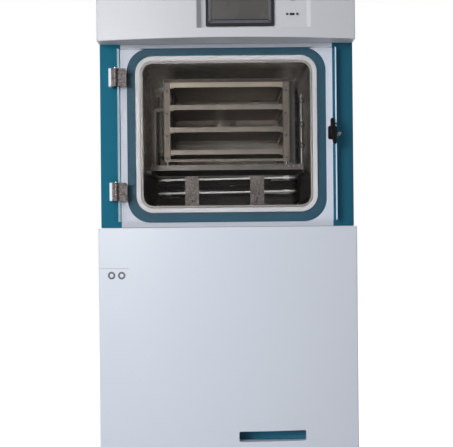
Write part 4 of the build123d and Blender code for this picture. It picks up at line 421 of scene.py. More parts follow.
def mottled_metal(name, light, dark, roughness, metallic=1.0, cell=220.0):
    """Plated or oxidised metal with fine light and dark blotches."""
    material, tree, shader, place = start_material(name)
    blotch = spread(tree, noise(tree, place, cell, 3.0), 0.0, 1.0, 0.38, 0.62)
    edge = place_group(tree, edge_wear, place, Radius=0.0008, Amount=0.5)
    bright = tuple(min(1.0, c * 1.4) for c in light)
    colour = fade(tree, fade(tree, dark, light, blotch), bright, edge.outputs["Mask"])
    tree.links.new(colour, shader.inputs["Base Color"])
    rough = spread(tree, blotch, roughness - 0.05, roughness + 0.08, 0.0, 1.0)
    tree.links.new(rough, shader.inputs["Roughness"])
    tree.links.new(bump(tree, blotch, 0.00003), shader.inputs["Normal"])
    shader.inputs["Metallic"].default_value = metallic
    return material


zinc_plate = mottled_metal("zinc_plate", (0.56, 0.57, 0.58), (0.42, 0.43, 0.44), 0.32)
rear_low, rear_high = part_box("rear_panel")
rear_screw_x = rear_high.x - 0.012
rear_screw_heights = (0.16, 0.53, 0.90, 1.27, 1.62)
rear_screw_places = [
    (side * rear_screw_x, rear_low.y + 0.0015, z) for side in (-1, 1) for z in rear_screw_heights
]
rear_screw = cap_screw(0.0045, 0.0024, 1)
set_copies(rear_screw, rear_screw_places, "rear_panel_screw", zinc_plate, "cabinet")

# ---- Teal posts, surround and backing panel ----
# Folded sheet in teal powder coat beside, around and below the chamber door. The posts carry
# the hinges and the latch's stud; the backing panel stands behind the lower cover.
post_teal = paint(
    "post_teal", (0.012, 0.140, 0.220), (0.03, 0.20, 0.29), 0.42, 0.05, shine=0.04
)
# The right post's teal is a darker copy of the left one's: painted shade, for the shade the right post
# stands in.
post_teal_shaded = paint(
    "post_teal_shaded", (0.015, 0.092, 0.145), (0.03, 0.18, 0.26), 0.42, 0.05, shine=0.06
)
surround_teal = paint("surround_teal", (0.024, 0.076, 0.114), (0.10, 0.22, 0.28), 0.38, 0.05, shine=0.2)
# The backing panel's teal is lighter than the posts': painted light, for the little light that reaches
# behind the cover's slot.
backing_teal_lit = paint("backing_teal_lit", (0.030, 0.20, 0.31), (0.10, 0.28, 0.36), 0.36, 0.05, shine=0.3)
dress(post_teal, "left_front_post")
dress(post_teal_shaded, "right_front_post")
dress(surround_teal, "chamber_surround")
dress(backing_teal_lit, "lower_backing_panel")

# ---- Front plate ----
# Flat steel plate between the posts, light grey-blue powder coat, with a large rounded
# window for the chamber's mouth.
plate_paint = paint("plate_paint", (0.53, 0.555, 0.62), (0.74, 0.76, 0.80), 0.40)
dress(plate_paint, "front_plate")


# ---- Vacuum chamber ----
# Welded stainless box, brushed along the walls, with painted shade below the baffle and beside
# the right wall and painted light at the roof. The port in its back wall stands behind a round
# deflector.
def make_grain_group():
    """Brushed grain and broad streaks drawn out along one direction, with soft stains."""
    tree = surface_group("brushed_grain", ["Grain", "Streak", "Stain"])
    tree.interface.new_socket("Stretch", in_out="INPUT", socket_type="NodeSocketVector")
    into = tree.nodes["Group Input"]
    out = tree.nodes["Group Output"]
    drawn = tree.nodes.new("ShaderNodeVectorMath")
    drawn.operation = "MULTIPLY"
    tree.links.new(into.outputs["Vector"], drawn.inputs[0])
    tree.links.new(into.outputs["Stretch"], drawn.inputs[1])
    tree.links.new(noise(tree, drawn.outputs[0], 1.0, 4.0), out.inputs["Grain"])
    tree.links.new(noise(tree, drawn.outputs[0], 0.06, 2.0), out.inputs["Streak"])
    tree.links.new(noise(tree, into.outputs["Vector"], 9.0, 5.0, 0.6), out.inputs["Stain"])
    return tree


brushed_grain = make_grain_group()


def step_band(tree, place, start, end, before, after, axis="Z"):
    """A value that changes from one to another between two places along an axis."""
    return spread(tree, along(tree, place, axis), before, after, start, end)


def brushed(name, colour, roughness, stretch, streak=(0.94, 1.06), wear=0.4, depth=0.00002, painted_tones=()):
    """Brushed stainless steel; each painted tone adds painted light or painted shade from one place on.
    """
    material, tree, shader, place = start_material(name)
    marks = place_group(tree, brushed_grain, place, Stretch=stretch)
    edge = place_group(tree, edge_wear, place, Radius=0.001, Amount=wear)
    factor = combine(
        tree, "MULTIPLY",
        spread(tree, marks.outputs["Stain"], 0.92, 1.06),
        spread(tree, marks.outputs["Streak"], *streak),
    )
    for painted_tone in painted_tones:
        factor = combine(tree, "MULTIPLY", factor, step_band(tree, place, *painted_tone))
    bright = tuple(min(1.0, c * 1.35) for c in colour)
    shade = fade(tree, tint(tree, colour, factor), bright, edge.outputs["Mask"])
    tree.links.new(shade, shader.inputs["Base Color"])
    rough = spread(tree, marks.outputs["Grain"], roughness - 0.05, roughness + 0.06)
    tree.links.new(rough, shader.inputs["Roughness"])
    tree.links.new(bump(tree, marks.outputs["Grain"], depth), shader.inputs["Normal"])
    shader.inputs["Metallic"].default_value = 1.0
    return material


# The chamber's painted tones: painted shade below the baffle, painted light at the roof and painted
# shade beside the right wall.
baffle_low, baffle_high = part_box("baffle_plate")
chamber_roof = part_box("shelf_rack")[1].z + 0.030
chamber_steel = brushed(
    "chamber_steel", (0.86, 0.785, 0.70), 0.30, (14, 320, 700), streak=(0.55, 1.30), wear=0.15,
    painted_tones=(
        (baffle_low.z - 0.012, baffle_low.z + 0.004, 0.14, 1.0),
        (chamber_roof - 0.012, chamber_roof - 0.001, 1.0, 1.8),
        (0.2300, 0.2460, 1.0, 0.08, "X"),
    ),
)
dress(chamber_steel, "vacuum_chamber", "vacuum_port")


def ease_edges(piece, width):
    """Rounds the sharp edges of the selected piece by a hair and smooths it."""
    eased = piece.modifiers.new("eased", "BEVEL")
    eased.width = width
    eased.segments = 2
    eased.limit_method = "ANGLE"
    bpy.ops.object.modifier_apply(modifier=eased.name)
    bpy.ops.object.shade_smooth_by_angle(angle=math.radians(35))


port_low, port_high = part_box("vacuum_port")
port_z = (port_low.z + port_high.z) / 2
back_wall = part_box("vacuum_chamber")[1].y - 0.006
deflector_standoff = 0.014
spacer_length = 0.0132
spacer_circle = 0.026
deflector = shape_from(
    bpy.ops.mesh.primitive_cylinder_add, vertices=72, radius=0.034, depth=0.0015,
    location=(0, back_wall - deflector_standoff, port_z), rotation=(math.radians(90), 0, 0),
)
bpy.ops.object.mode_set(mode="EDIT")
pick(deflector, "faces", lambda f: f.normal.y < -0.9)
bpy.ops.mesh.inset(thickness=0.004)
bpy.ops.mesh.extrude_region_move(TRANSFORM_OT_translate={"value": (0, -0.0012, 0)})
pick(deflector, "faces", lambda f: f.normal.y > 0.9)
bpy.ops.mesh.inset(thickness=0.0012)
bpy.ops.mesh.inset(thickness=0.0300)
bpy.ops.object.mode_set(mode="OBJECT")
for turn in range(3):
    angle = math.radians(90 + 120 * turn)
    across, up = spacer_circle * math.cos(angle), spacer_circle * math.sin(angle)
    bpy.ops.mesh.primitive_cylinder_add(
        vertices=20, radius=0.003, depth=spacer_length, rotation=(math.radians(90), 0, 0),
        location=(across, back_wall - spacer_length / 2, port_z + up),
    )
    deflector.select_set(True)
    bpy.context.view_layer.objects.active = deflector
    bpy.ops.object.join()
begin(deflector)
ease_edges(deflector, 0.0004)
settle(deflector, "port_deflector", chamber_steel, "cabinet")

# ---- Chamber lip bead ----
# Half-round bead of satin stainless steel, welded on the lip inside the door seal. It keeps
# the hands off the cut edge of the chamber.
satin_bead = mottled_metal(
    "satin_bead", (0.36, 0.325, 0.305), (0.27, 0.24, 0.225), 0.46, metallic=0.45, cell=300.0
)
mouth_mid_z = (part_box("door_gasket")[0].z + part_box("door_gasket")[1].z) / 2
mouth_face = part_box("front_plate")[0].y
bead_outline = (0.5256, 0.4496)
bead_corner = 0.0368
bead_width = 0.0062
bead_height = 0.0014
bead = shape_from(
    bpy.ops.mesh.primitive_plane_add, stretch=(*bead_outline, 1), size=1,
    location=(0, mouth_face - 0.0001, mouth_mid_z), rotation=(math.radians(90), 0, 0),
)
bpy.ops.object.mode_set(mode="EDIT")
bpy.ops.mesh.select_all(action="SELECT")
bpy.ops.mesh.bevel(offset=bead_corner, segments=12, affect="VERTICES")
bpy.ops.mesh.select_all(action="SELECT")
bpy.ops.mesh.inset(thickness=bead_width)
bpy.ops.mesh.delete(type="FACE")
bpy.ops.mesh.select_all(action="SELECT")
bpy.ops.mesh.extrude_region_move(TRANSFORM_OT_translate={"value": (0, -bead_height, 0)})
bpy.ops.mesh.select_all(action="SELECT")
bpy.ops.mesh.normals_make_consistent(inside=False)
pick(bead, "edges", lambda e: all(v.co.y < mouth_face - 0.0012 for v in e.verts)
     and len(e.link_faces) == 2
     and abs(e.link_faces[0].normal.y) + abs(e.link_faces[1].normal.y) < 1.5)
bpy.ops.mesh.bevel(offset=0.0012, segments=4, affect="EDGES")
bpy.ops.object.mode_set(mode="OBJECT")
bpy.ops.object.shade_smooth_by_angle(angle=math.radians(40))
settle(bead, "lip_bead", satin_bead, "cabinet")

# ---- Hose guard strips ----
# Folded stainless channels that stand on the chamber's left wall and in its back corner
# and keep trays off the hoses.
guard_steel = mottled_metal(
    "guard_steel", (0.74, 0.66, 0.57), (0.58, 0.51, 0.44), 0.42, metallic=0.1, cell=200.0
)
guard_foot = baffle_high.z + 0.001
guard_head = guard_foot + 0.268
side_wall = -0.256


def give_wall(piece, thickness, offset, crease=35):
    """Turns a bare surface into sheet, inwards at offset -1 or outwards at 1, and smooths it."""
    wall = piece.modifiers.new("wall", "SOLIDIFY")
    wall.thickness = thickness
    wall.offset = offset
    bpy.ops.object.modifier_apply(modifier=wall.name)
    bpy.ops.object.shade_smooth_by_angle(angle=math.radians(crease))


# Each strip: its left and right side off the side wall, then its front and its rear.
for name, left, right, front, rear in (
    ("wall_guard", 0.0002, 0.0085, -0.116, -0.109),
    ("wall_guard_rear", 0.0002, 0.0125, -0.052, -0.043),
    ("corner_guard", 0.0070, 0.0160, back_wall - 0.006, back_wall - 0.0003),
):
    low = Vector((side_wall + left, front, guard_foot))
    high = Vector((side_wall + right, rear, guard_head))
    strip = shape_from(
        bpy.ops.mesh.primitive_cube_add, stretch=high - low, size=1, location=(low + high) / 2
    )
    bpy.ops.object.mode_set(mode="EDIT")
    pick(strip, "faces", lambda f: f.normal.y > 0.9 or abs(f.normal.z) > 0.9)
    bpy.ops.mesh.delete(type="FACE")
    pick(strip, "edges", lambda e: len(e.link_faces) == 2)
    bpy.ops.mesh.bevel(offset=0.0012, segments=3, affect="EDGES")
    bpy.ops.object.mode_set(mode="OBJECT")
    give_wall(strip, 0.0008, -1)
    settle(strip, name, guard_steel, "cabinet")

# ---- Insulation boards ----
# Closed-cell rubber foam boards glued in a close box around the chamber. They are cut from
# black sheet, and only their skin shows.
foam_skin = paint(
    "foam_skin", (0.045, 0.045, 0.048), (0.09, 0.09, 0.095), 0.85, 0.10, 240.0, wear=0.6, depth=0.0004
)
dress(foam_skin, "chamber_jacket")

# ---- Shelf rack ----
# Folded and welded stainless frame with four heated hollow shelves, held by button screws
# in the uprights. The top rail is painted darker, as painted shade from the chamber's roof.
top_shelf_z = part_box("shelf_1")[1].z
# Above the top shelf the rack's steel is painted half as bright: painted shade.
rack_steel = brushed(
    "rack_steel", (0.240, 0.205, 0.174), 0.38, (30, 30, 900), (0.86, 1.12),
    painted_tones=((top_shelf_z - 0.001, top_shelf_z + 0.001, 1.0, 0.50),),
)
shelf_steel = brushed("shelf_steel", (0.315, 0.272, 0.235), 0.36, (30, 900, 900), (0.92, 1.08))
# The top shelf's steel is a lighter copy of the other shelves': painted light, for the light that falls
# on the top shelf.
top_shelf_lit_steel = brushed("top_shelf_lit_steel", (0.52, 0.447, 0.36), 0.34, (30, 900, 900), (0.92, 1.06))
dress(rack_steel, "shelf_rack")
dress(shelf_steel, "shelf_2", "shelf_3", "shelf_4")
dress(top_shelf_lit_steel, "shelf_1")

# ---- Screws ----
# Pan-head screws of the rack, coil brackets and data socket, zinc plated and dulled, driven
# in from the front.
screw_zinc = mottled_metal("screw_zinc", (0.16, 0.15, 0.14), (0.05, 0.047, 0.045), 0.34)
dress(screw_zinc, "panel_screws")

# ---- Baffle plate ----
# Folded stainless plate with a turned-down front lip, which rests on the chamber's ledges and
# is bolted down at its right end.
lip_steel = brushed("lip_steel", (0.22, 0.199, 0.183), 0.40, (20, 900, 900), (0.85, 1.10))
dress(lip_steel, "baffle_plate")
lip_bolt_x = (0.196, 0.212, 0.228)
lip_bolts = [(x, baffle_low.y, baffle_high.z - 0.006) for x in lip_bolt_x]
set_copies(cap_screw(0.0028, 0.0018, -1), lip_bolts, "baffle_bolt", zinc_plate, "cabinet")

# ---- Condenser coil and brackets ----
# Bright drawn stainless tube in two turns, clipped by two folded brackets. Pale sleeves on its
# front bends stand in for the glint on the bends: a painted highlight.
tube_steel = mottled_metal(
    "tube_steel", (0.80, 0.78, 0.76), (0.66, 0.64, 0.62), 0.30, metallic=0.40, cell=500.0
)
bracket_steel = mottled_metal(
    "bracket_steel", (0.25, 0.218, 0.197), (0.105, 0.093, 0.09), 0.42, cell=260.0
)
dress(tube_steel, "condenser_coil")
dress(bracket_steel, "coil_brackets")
coil_low, coil_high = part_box("condenser_coil")
tube_radius = 0.0033
bend_radius = 0.022


def glint_sleeve(side, rise):
    """A pale sleeve over a front bend of the coil, a painted highlight for its glint, spun from a small
    ring about its centre.
    """
    front = coil_low.y + tube_radius
    start = side * (coil_high.x - tube_radius - bend_radius)
    sleeve = shape_from(
        bpy.ops.mesh.primitive_circle_add, vertices=20, radius=tube_radius + 0.0008,
        location=(start, front, rise), rotation=(0, math.radians(90), 0),
    )
    bpy.ops.object.mode_set(mode="EDIT")
    bpy.ops.mesh.select_all(action="SELECT")
    bpy.ops.mesh.spin(
        steps=10, angle=side * math.radians(48),
        center=(start, front + bend_radius, rise), axis=(0, 0, 1),
    )
    bpy.ops.mesh.select_all(action="SELECT")
    bpy.ops.mesh.remove_doubles(threshold=0.00001)
    bpy.ops.mesh.normals_make_consistent(inside=False)
    bpy.ops.object.mode_set(mode="OBJECT")
    give_wall(sleeve, 0.0007, 1, crease=40)
    return sleeve


# Pale paint on the sleeves: a painted highlight for the glint on the bends.
glint_sleeve_paint = paint("glint_sleeve_paint", (0.66, 0.65, 0.62), (0.74, 0.73, 0.71), 0.35, 0.08, 800.0)
for name, side, rise in (
    ("lower_left", -1, 0.0023), ("lower_right", 1, 0.0073),
    ("upper_left", -1, 0.0453), ("upper_right", 1, 0.0503),
):
    settle(
        glint_sleeve(side, coil_low.z + tube_radius + rise), "coil_glint_sleeve_" + name,
        glint_sleeve_paint, "cabinet",
    )

# ---- Probe rail ----
# Dull stainless rod that stands on the chamber's right wall beside the rack. Three black
# rubber sockets on it hold the product probes.
def from_axle(tree, place, axle, square):
    """How far a position is from an axle; square is 1 on the two axes that cross the axle."""
    reach = place
    for operation, value in (("SUBTRACT", axle), ("MULTIPLY", square)):
        step = tree.nodes.new("ShaderNodeVectorMath")
        step.operation = operation
        step.inputs[1].default_value = value
        tree.links.new(reach, step.inputs[0])
        reach = step.outputs[0]
    away = tree.nodes.new("ShaderNodeVectorMath")
    away.operation = "LENGTH"
    tree.links.new(reach, away.inputs[0])
    return away.outputs["Value"]


def make_rail_finish():
    """Satin steel on the rod and black rubber on the sockets, by distance from the rod."""
    material, tree, shader, place = start_material("rail_finish")
    low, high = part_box("probe_rail")
    rod_edge, socket_edge = 0.0043, 0.0130
    away = from_axle(tree, place, (high.x - 0.009, low.y + 0.007, 0), (1, 1, 0))
    socket = spread(tree, away, 1.0, 0.0, socket_edge, socket_edge + 0.0005)
    off_rod = spread(tree, away, 0.0, 1.0, rod_edge, rod_edge + 0.0003)
    rubber = combine(tree, "MULTIPLY", socket, off_rod)
    marks = place_group(tree, brushed_grain, place, Stretch=(700, 700, 60))
    steel = tint(tree, (0.22, 0.215, 0.205), spread(tree, marks.outputs["Streak"], 0.85, 1.1))
    tree.links.new(fade(tree, steel, (0.012, 0.012, 0.013), rubber), shader.inputs["Base Color"])
    tree.links.new(spread(tree, rubber, 0.9, 0.0, 0.0, 1.0), shader.inputs["Metallic"])
    tree.links.new(spread(tree, marks.outputs["Grain"], 0.42, 0.56), shader.inputs["Roughness"])
    tree.links.new(bump(tree, marks.outputs["Grain"], 0.00002), shader.inputs["Normal"])
    return material


dress(make_rail_finish(), "probe_rail")

# ---- Heating hoses ----
# Silicone hoses, pushed on the shelves' stubs, that carry warm fluid in through the back
# wall and from shelf to shelf.
hose_silicone = paint("hose_silicone", (0.50, 0.455, 0.40), (0.62, 0.57, 0.51), 0.38, 0.12, 400.0)
dress(hose_silicone, "shelf_hoses")

# ---- Door seal ----
# Moulded silicone ring, pale grey-white, pressed in the groove of the chamber's flange. The
# shut door bears on it.
seal_rubber = paint("seal_rubber", (0.54, 0.532, 0.544), (0.74, 0.74, 0.75), 0.50, 0.06, 700.0)
dress(seal_rubber, "door_gasket")


# ---- Acrylic door ----
# Thick cast acrylic plate with rounded corners. Its faces are polished clear; the sawn right
# edge is frosted and a narrow strip near the left edge is hazed, and both carry a painted glow.
def make_acrylic():
    """Clear plate that lets shadow rays through."""
    material, tree, shader, place = start_material("clear_acrylic")
    shader.inputs["Base Color"].default_value = (0.982, 0.985, 0.990, 1)
    shader.inputs["Transmission Weight"].default_value = 1.0
    shader.inputs["IOR"].default_value = 1.49
    shader.inputs["Specular Tint"].default_value = (0.22, 0.22, 0.22, 1)
    smears = noise(tree, place, 40.0)
    tree.links.new(spread(tree, smears, 0.0, 0.03), shader.inputs["Roughness"])
    path = tree.nodes.new("ShaderNodeLightPath")
    clear = tree.nodes.new("ShaderNodeBsdfTransparent")
    clear.inputs["Color"].default_value = (0.90, 0.905, 0.915, 1)
    mix = tree.nodes.new("ShaderNodeMixShader")
    tree.links.new(path.outputs["Is Shadow Ray"], mix.inputs[0])
    tree.links.new(shader.outputs[0], mix.inputs[1])
    tree.links.new(clear.outputs[0], mix.inputs[2])
    tree.links.new(mix.outputs[0], tree.nodes["Material Output"].inputs["Surface"])
    return material


def make_frosted(name, colour, through, painted_glow):
    """Sawn acrylic: milky, with fine saw marks and a pale blue painted glow that stands in for the
    light the edge catches.
    """
    material, tree, shader, place = start_material(name)
    marks = place_group(tree, brushed_grain, place, Stretch=(900, 900, 900))
    shade = tint(tree, colour, spread(tree, marks.outputs["Grain"], 0.94, 1.04))
    tree.links.new(shade, shader.inputs["Base Color"])
    tree.links.new(spread(tree, marks.outputs["Grain"], 0.35, 0.5), shader.inputs["Roughness"])
    shader.inputs["Transmission Weight"].default_value = through
    shader.inputs["IOR"].default_value = 1.49
    # A pale blue painted glow: painted light.
    shader.inputs["Emission Color"].default_value = (0.62, 0.84, 1.0, 1)
    shader.inputs["Emission Strength"].default_value = painted_glow
    return material


clear_acrylic = make_acrylic()
sawn_acrylic = make_frosted("sawn_acrylic", (0.70, 0.85, 1.0), 0.05, 0.08)
hazed_acrylic = make_frosted("hazed_acrylic", (0.80, 0.93, 0.98), 0.74, 0.04)
pane_low, pane_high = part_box("door_pane")
haze_start = pane_low.x + 0.0035
haze_end = pane_low.x + 0.0080
sawn_start = pane_high.x - 0.0040
door_plate = shape_from(
    bpy.ops.mesh.primitive_cube_add, stretch=pane_high - pane_low, size=1,
    location=(pane_low + pane_high) / 2,
)
for finish in (clear_acrylic, sawn_acrylic, hazed_acrylic):
    door_plate.data.materials.append(finish)
bpy.ops.object.mode_set(mode="EDIT")
for cut in (haze_start, haze_end, sawn_start):
    bpy.ops.mesh.select_all(action="SELECT")
    bpy.ops.mesh.bisect(plane_co=(cut, 0, 0), plane_no=(1, 0, 0))
for corner in (pane_low.x, pane_high.x):
    pick(door_plate, "verts", lambda v: abs(v.co.x - corner) < 1e-5
         and v.co.y < pane_low.y + 1e-5)
    bpy.ops.transform.translate(value=(0, 0.0012, 0))
pick(door_plate, "faces", lambda f: abs(f.normal.y) > 0.9
     and haze_start < f.calc_center_median().x < haze_end)
door_plate.active_material_index = 2
bpy.ops.object.material_slot_assign()
pick(door_plate, "faces", lambda f: f.calc_center_median().x > sawn_start
     and abs(f.normal.z) < 0.5 and f.normal.y < 0.9)
door_plate.active_material_index = 1
bpy.ops.object.material_slot_assign()
pick(door_plate, "edges", lambda e: abs(e.verts[0].co.y - e.verts[1].co.y) > 0.01
     and all(abs(v.co.x) > pane_high.x - 1e-5 for v in e.verts))
bpy.ops.mesh.bevel(offset=0.004, segments=4, affect="EDGES")
bpy.ops.object.mode_set(mode="OBJECT")
settle(door_plate, "door_plate", clear_acrylic, "door")
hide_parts("door_pane")


# ---- Hinges ----
# Two lift-off hinges: a block on the post with a white side strip that is a painted highlight, and a
# blotchy satin leaf screwed to the door, on a polished pin.
def make_hinge_metal():
    """Oxidised satin metal, brown-grey and blotchy, with a painted highlight in white on the block's
    outer side.
    """
    material, tree, shader, place = start_material("hinge_metal")
    blotch = spread(tree, noise(tree, place, 190.0, 3.0), 0.0, 1.0, 0.38, 0.62)
    # A white, nearly plain strip along the block's outer side: a painted highlight.
    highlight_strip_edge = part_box("post_hinge_leaves")[0].x + 0.0085
    strip = step_band(tree, place, highlight_strip_edge - 0.0006, highlight_strip_edge + 0.0006, 1.0, 0.0, "X")
    edge = place_group(tree, edge_wear, place, Radius=0.0008, Amount=0.5)
    dull = fade(tree, (0.060, 0.047, 0.045), (0.235, 0.205, 0.200), blotch)
    dull = fade(tree, dull, (0.50, 0.48, 0.46), edge.outputs["Mask"])
    tree.links.new(fade(tree, dull, (0.74, 0.79, 0.83), strip), shader.inputs["Base Color"])
    tree.links.new(spread(tree, blotch, 0.34, 0.5, 0.0, 1.0), shader.inputs["Roughness"])
    tree.links.new(spread(tree, strip, 0.45, 0.05, 0.0, 1.0), shader.inputs["Metallic"])
    tree.links.new(bump(tree, blotch, 0.00005), shader.inputs["Normal"])
    return material


hinge_metal = make_hinge_metal()
polished = mottled_metal("polished_steel", (0.78, 0.78, 0.78), (0.70, 0.70, 0.70), 0.14)
dress(hinge_metal, "post_hinge_leaves", "door_hinge_leaves")
dress(polished, "hinge_pins")

# ---- Latch ----
# Black moulded wing handle on a black base, with a black coated cam behind it that hooks
# on a bright stud in the post.
black_nylon = paint(
    "black_nylon", (0.003, 0.003, 0.004), (0.02, 0.02, 0.022), 0.42, 0.2, 900.0,
    wear=0.4, depth=0.00003, shine=0.2,
)
stud_metal = mottled_metal("stud_metal", (0.62, 0.61, 0.58), (0.48, 0.47, 0.45), 0.26)
dress(black_nylon, "latch_housing", "latch_handle", "latch_cam")
dress(stud_metal, "striker_stud")

# ---- Head cover ----
# Bowed pressed cover in the lower cover's powder coat, its colour painted greyer and darker as painted
# shade, with a bevelled recess that holds the controls.
# It is fixed to the top of the frame.
# The head's paint is a greyer, darker copy of the lower cover's: painted shade.
head_paint_shaded = paint("head_paint_shaded", (0.562, 0.574, 0.614), (0.78, 0.79, 0.81), 0.36)
dress(head_paint_shaded, "head_cover")

# ---- Operator screen ----
# Dark moulded bezel, a blue-grey trim frame that is wider along its foot, and a warm grey
# display glass that is off. The screen is let into the head cover from the front.
bezel_plastic = paint(
    "bezel_plastic", (0.020, 0.021, 0.025), (0.07, 0.07, 0.075), 0.42, 0.10, 900.0,
    wear=0.6, depth=0.00003, shine=0.3,
)
dress(bezel_plastic, "touchscreen")
trim_plastic = paint(
    "trim_plastic", (0.095, 0.100, 0.115), (0.26, 0.27, 0.29), 0.36, 0.06, 900.0, wear=0.9
)
screen_low, screen_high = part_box("touchscreen")
screen_mid = (screen_low + screen_high) / 2
trim_half_width = 0.0935
trim_half_height = 0.0660
trim_depth = 0.0016
trim_border = 0.0080
trim_foot_border = 0.0160
trim = shape_from(
    bpy.ops.mesh.primitive_cube_add, size=1,
    stretch=(trim_half_width * 2, trim_depth, trim_half_height * 2),
    location=(screen_mid.x, screen_low.y - 0.0008 + trim_depth / 2, screen_mid.z),
)
bpy.ops.object.mode_set(mode="EDIT")
pick(trim, "edges", lambda e: abs(e.verts[0].co.y - e.verts[1].co.y) > trim_depth / 2)
bpy.ops.mesh.bevel(offset=0.003, segments=4, affect="EDGES")
pick(trim, "faces", lambda f: f.normal.y < -0.9)
bpy.ops.mesh.inset(thickness=trim_border)
bpy.ops.mesh.extrude_region_move(TRANSFORM_OT_translate={"value": (0, trim_depth * 0.7, 0)})
inner_foot = screen_mid.z - trim_half_height + trim_border
inner_half_width = trim_half_width - trim_border + 0.0005
pick(trim, "verts", lambda v: abs(v.co.x - screen_mid.x) < inner_half_width
     and inner_foot - 0.001 < v.co.z < inner_foot + 0.004)
bpy.ops.transform.translate(value=(0, 0, trim_foot_border - trim_border))
bpy.ops.object.mode_set(mode="OBJECT")
ease_edges(trim, 0.0004)
settle(trim, "screen_trim", trim_plastic, "cabinet")


def make_display():
    """Dark warm grey display under a glossy cover glass, faintly mottled."""
    material, tree, shader, place = start_material("display_glass")
    cells = noise(tree, place, 1200.0)
    broad = noise(tree, place, 12.0)
    factor = combine(
        tree, "MULTIPLY", spread(tree, cells, 0.97, 1.03), spread(tree, broad, 0.95, 1.06)
    )
    tree.links.new(tint(tree, (0.098, 0.094, 0.088), factor), shader.inputs["Base Color"])
    tree.links.new(spread(tree, broad, 0.22, 0.34), shader.inputs["Roughness"])
    shader.inputs["Specular IOR Level"].default_value = 0.4
    return material


display = shape_from(
    bpy.ops.mesh.primitive_cube_add, stretch=(0.1712, 0.0012, 0.1178), size=1,
    location=(screen_mid.x, screen_low.y + 0.0010, screen_mid.z + 0.004),
)
bpy.ops.object.mode_set(mode="EDIT")
pick(display, "edges", lambda e: abs(e.verts[0].co.y - e.verts[1].co.y) > 0.0005)
bpy.ops.mesh.bevel(offset=0.002, segments=4, affect="EDGES")
pick(display, "faces", lambda f: f.normal.y < -0.9)
bpy.ops.mesh.inset(thickness=0.0006)
bpy.ops.transform.translate(value=(0, -0.0002, 0))
bpy.ops.object.mode_set(mode="OBJECT")
settle(display, "display_glass", make_display(), "cabinet")


# ---- Data socket ----
# Moulded flange in the cover's colour around a black slot, held by two small screws. A guide
# of black plastic lines the slot.
slot_half_width = 0.0072
slot_half_height = 0.0034


def make_socket_plastic():
    """Pale moulding whose slot is lined with black."""
    material, tree, shader, place = start_material("socket_plastic")
    low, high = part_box("usb_socket")
    middle = (low + high) / 2
    across = combine(tree, "SUBTRACT", along(tree, place, "X"), middle.x)
    up = combine(tree, "SUBTRACT", along(tree, place, "Z"), middle.z)
    wide = combine(tree, "LESS_THAN", combine(tree, "ABSOLUTE", across, 0.0), slot_half_width)
    tall = combine(tree, "LESS_THAN", combine(tree, "ABSOLUTE", up, 0.0), slot_half_height)
    lined = combine(tree, "MULTIPLY", wide, tall)
    film = place_group(tree, paint_film, place, Mottle=0.04, Peel_Scale=900.0, Roughness=0.38)
    # The flange takes the head cover's greyer, darker copy of the paint: painted shade.
    pale = tint(tree, (0.560, 0.572, 0.605), film.outputs["Shade"])
    tree.links.new(fade(tree, pale, (0.008, 0.008, 0.009), lined), shader.inputs["Base Color"])
    tree.links.new(film.outputs["Gloss"], shader.inputs["Roughness"])
    tree.links.new(bump(tree, film.outputs["Height"], 0.00002), shader.inputs["Normal"])
    return material


dress(make_socket_plastic(), "usb_socket")

# ---- Power button ----
# Turned and polished metal push button on a spring, in a turned collar that is screwed into
# the head cover.
button_metal = mottled_metal(
    "button_metal", (0.76, 0.76, 0.77), (0.70, 0.70, 0.71), 0.18, cell=500.0
)
dress(button_metal, "button_collar", "power_button")

# ---- Lower cover ----
# Bowed pressed cover, pale blue-white powder coat, pulled off by a slot near its foot. A
# small raised plate at its upper left carries two plain embossed rings.
cover_paint = paint("cover_paint", (0.625, 0.668, 0.748), (0.80, 0.82, 0.86), 0.36)
dress(cover_paint, "lower_front_cover")
ring_paint = paint("ring_paint", (0.115, 0.122, 0.140), (0.30, 0.31, 0.34), 0.40, 0.08, 700.0)
bow_radius = 1.800
bow_centre_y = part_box("lower_front_cover")[0].y + bow_radius
plate_left, plate_right = -0.3858, -0.2972
ring_height = 0.6815


def embossed_ring(centre_x, name):
    """A thin raised ring that follows the cover's bow."""
    ring_radius = bow_radius + 0.0008
    ring = shape_from(
        bpy.ops.mesh.primitive_torus_add, stretch=(1, 1, 0.45),
        major_radius=0.0088, minor_radius=0.0028, major_segments=48, minor_segments=12,
        location=(centre_x, bow_centre_y - math.sqrt(ring_radius ** 2 - centre_x ** 2), ring_height),
        rotation=(math.radians(90), 0, math.asin(centre_x / ring_radius)),
    )
    bpy.ops.object.shade_smooth()
    settle(ring, name, ring_paint, "lower_cover")


# A grey line along the raised plate's top edge, a painted shadow of that edge, cut from a cylinder of
# the bow.
shadow_line_grey = paint("shadow_line_grey", (0.34, 0.34, 0.37), (0.42, 0.42, 0.45), 0.5)
shadow_line = shape_from(
    bpy.ops.mesh.primitive_cylinder_add, vertices=1440, radius=bow_radius + 0.0009, depth=0.0013,
    end_fill_type="NOTHING", location=(0, bow_centre_y, 0.7024),
)
bpy.ops.object.mode_set(mode="EDIT")
for cut, outward in (
    ((0, 0, 0), (0, 1, 0)), ((plate_right, 0, 0), (1, 0, 0)), ((plate_left, 0, 0), (-1, 0, 0))
):
    bpy.ops.mesh.select_all(action="SELECT")
    bpy.ops.mesh.bisect(plane_co=cut, plane_no=outward, clear_outer=True)
bpy.ops.object.mode_set(mode="OBJECT")
give_wall(shadow_line, 0.0009, -1)
settle(shadow_line, "plate_shadow_line", shadow_line_grey, "lower_cover")
embossed_ring(-0.3495, "plate_ring_left")
embossed_ring(-0.3186, "plate_ring_right")

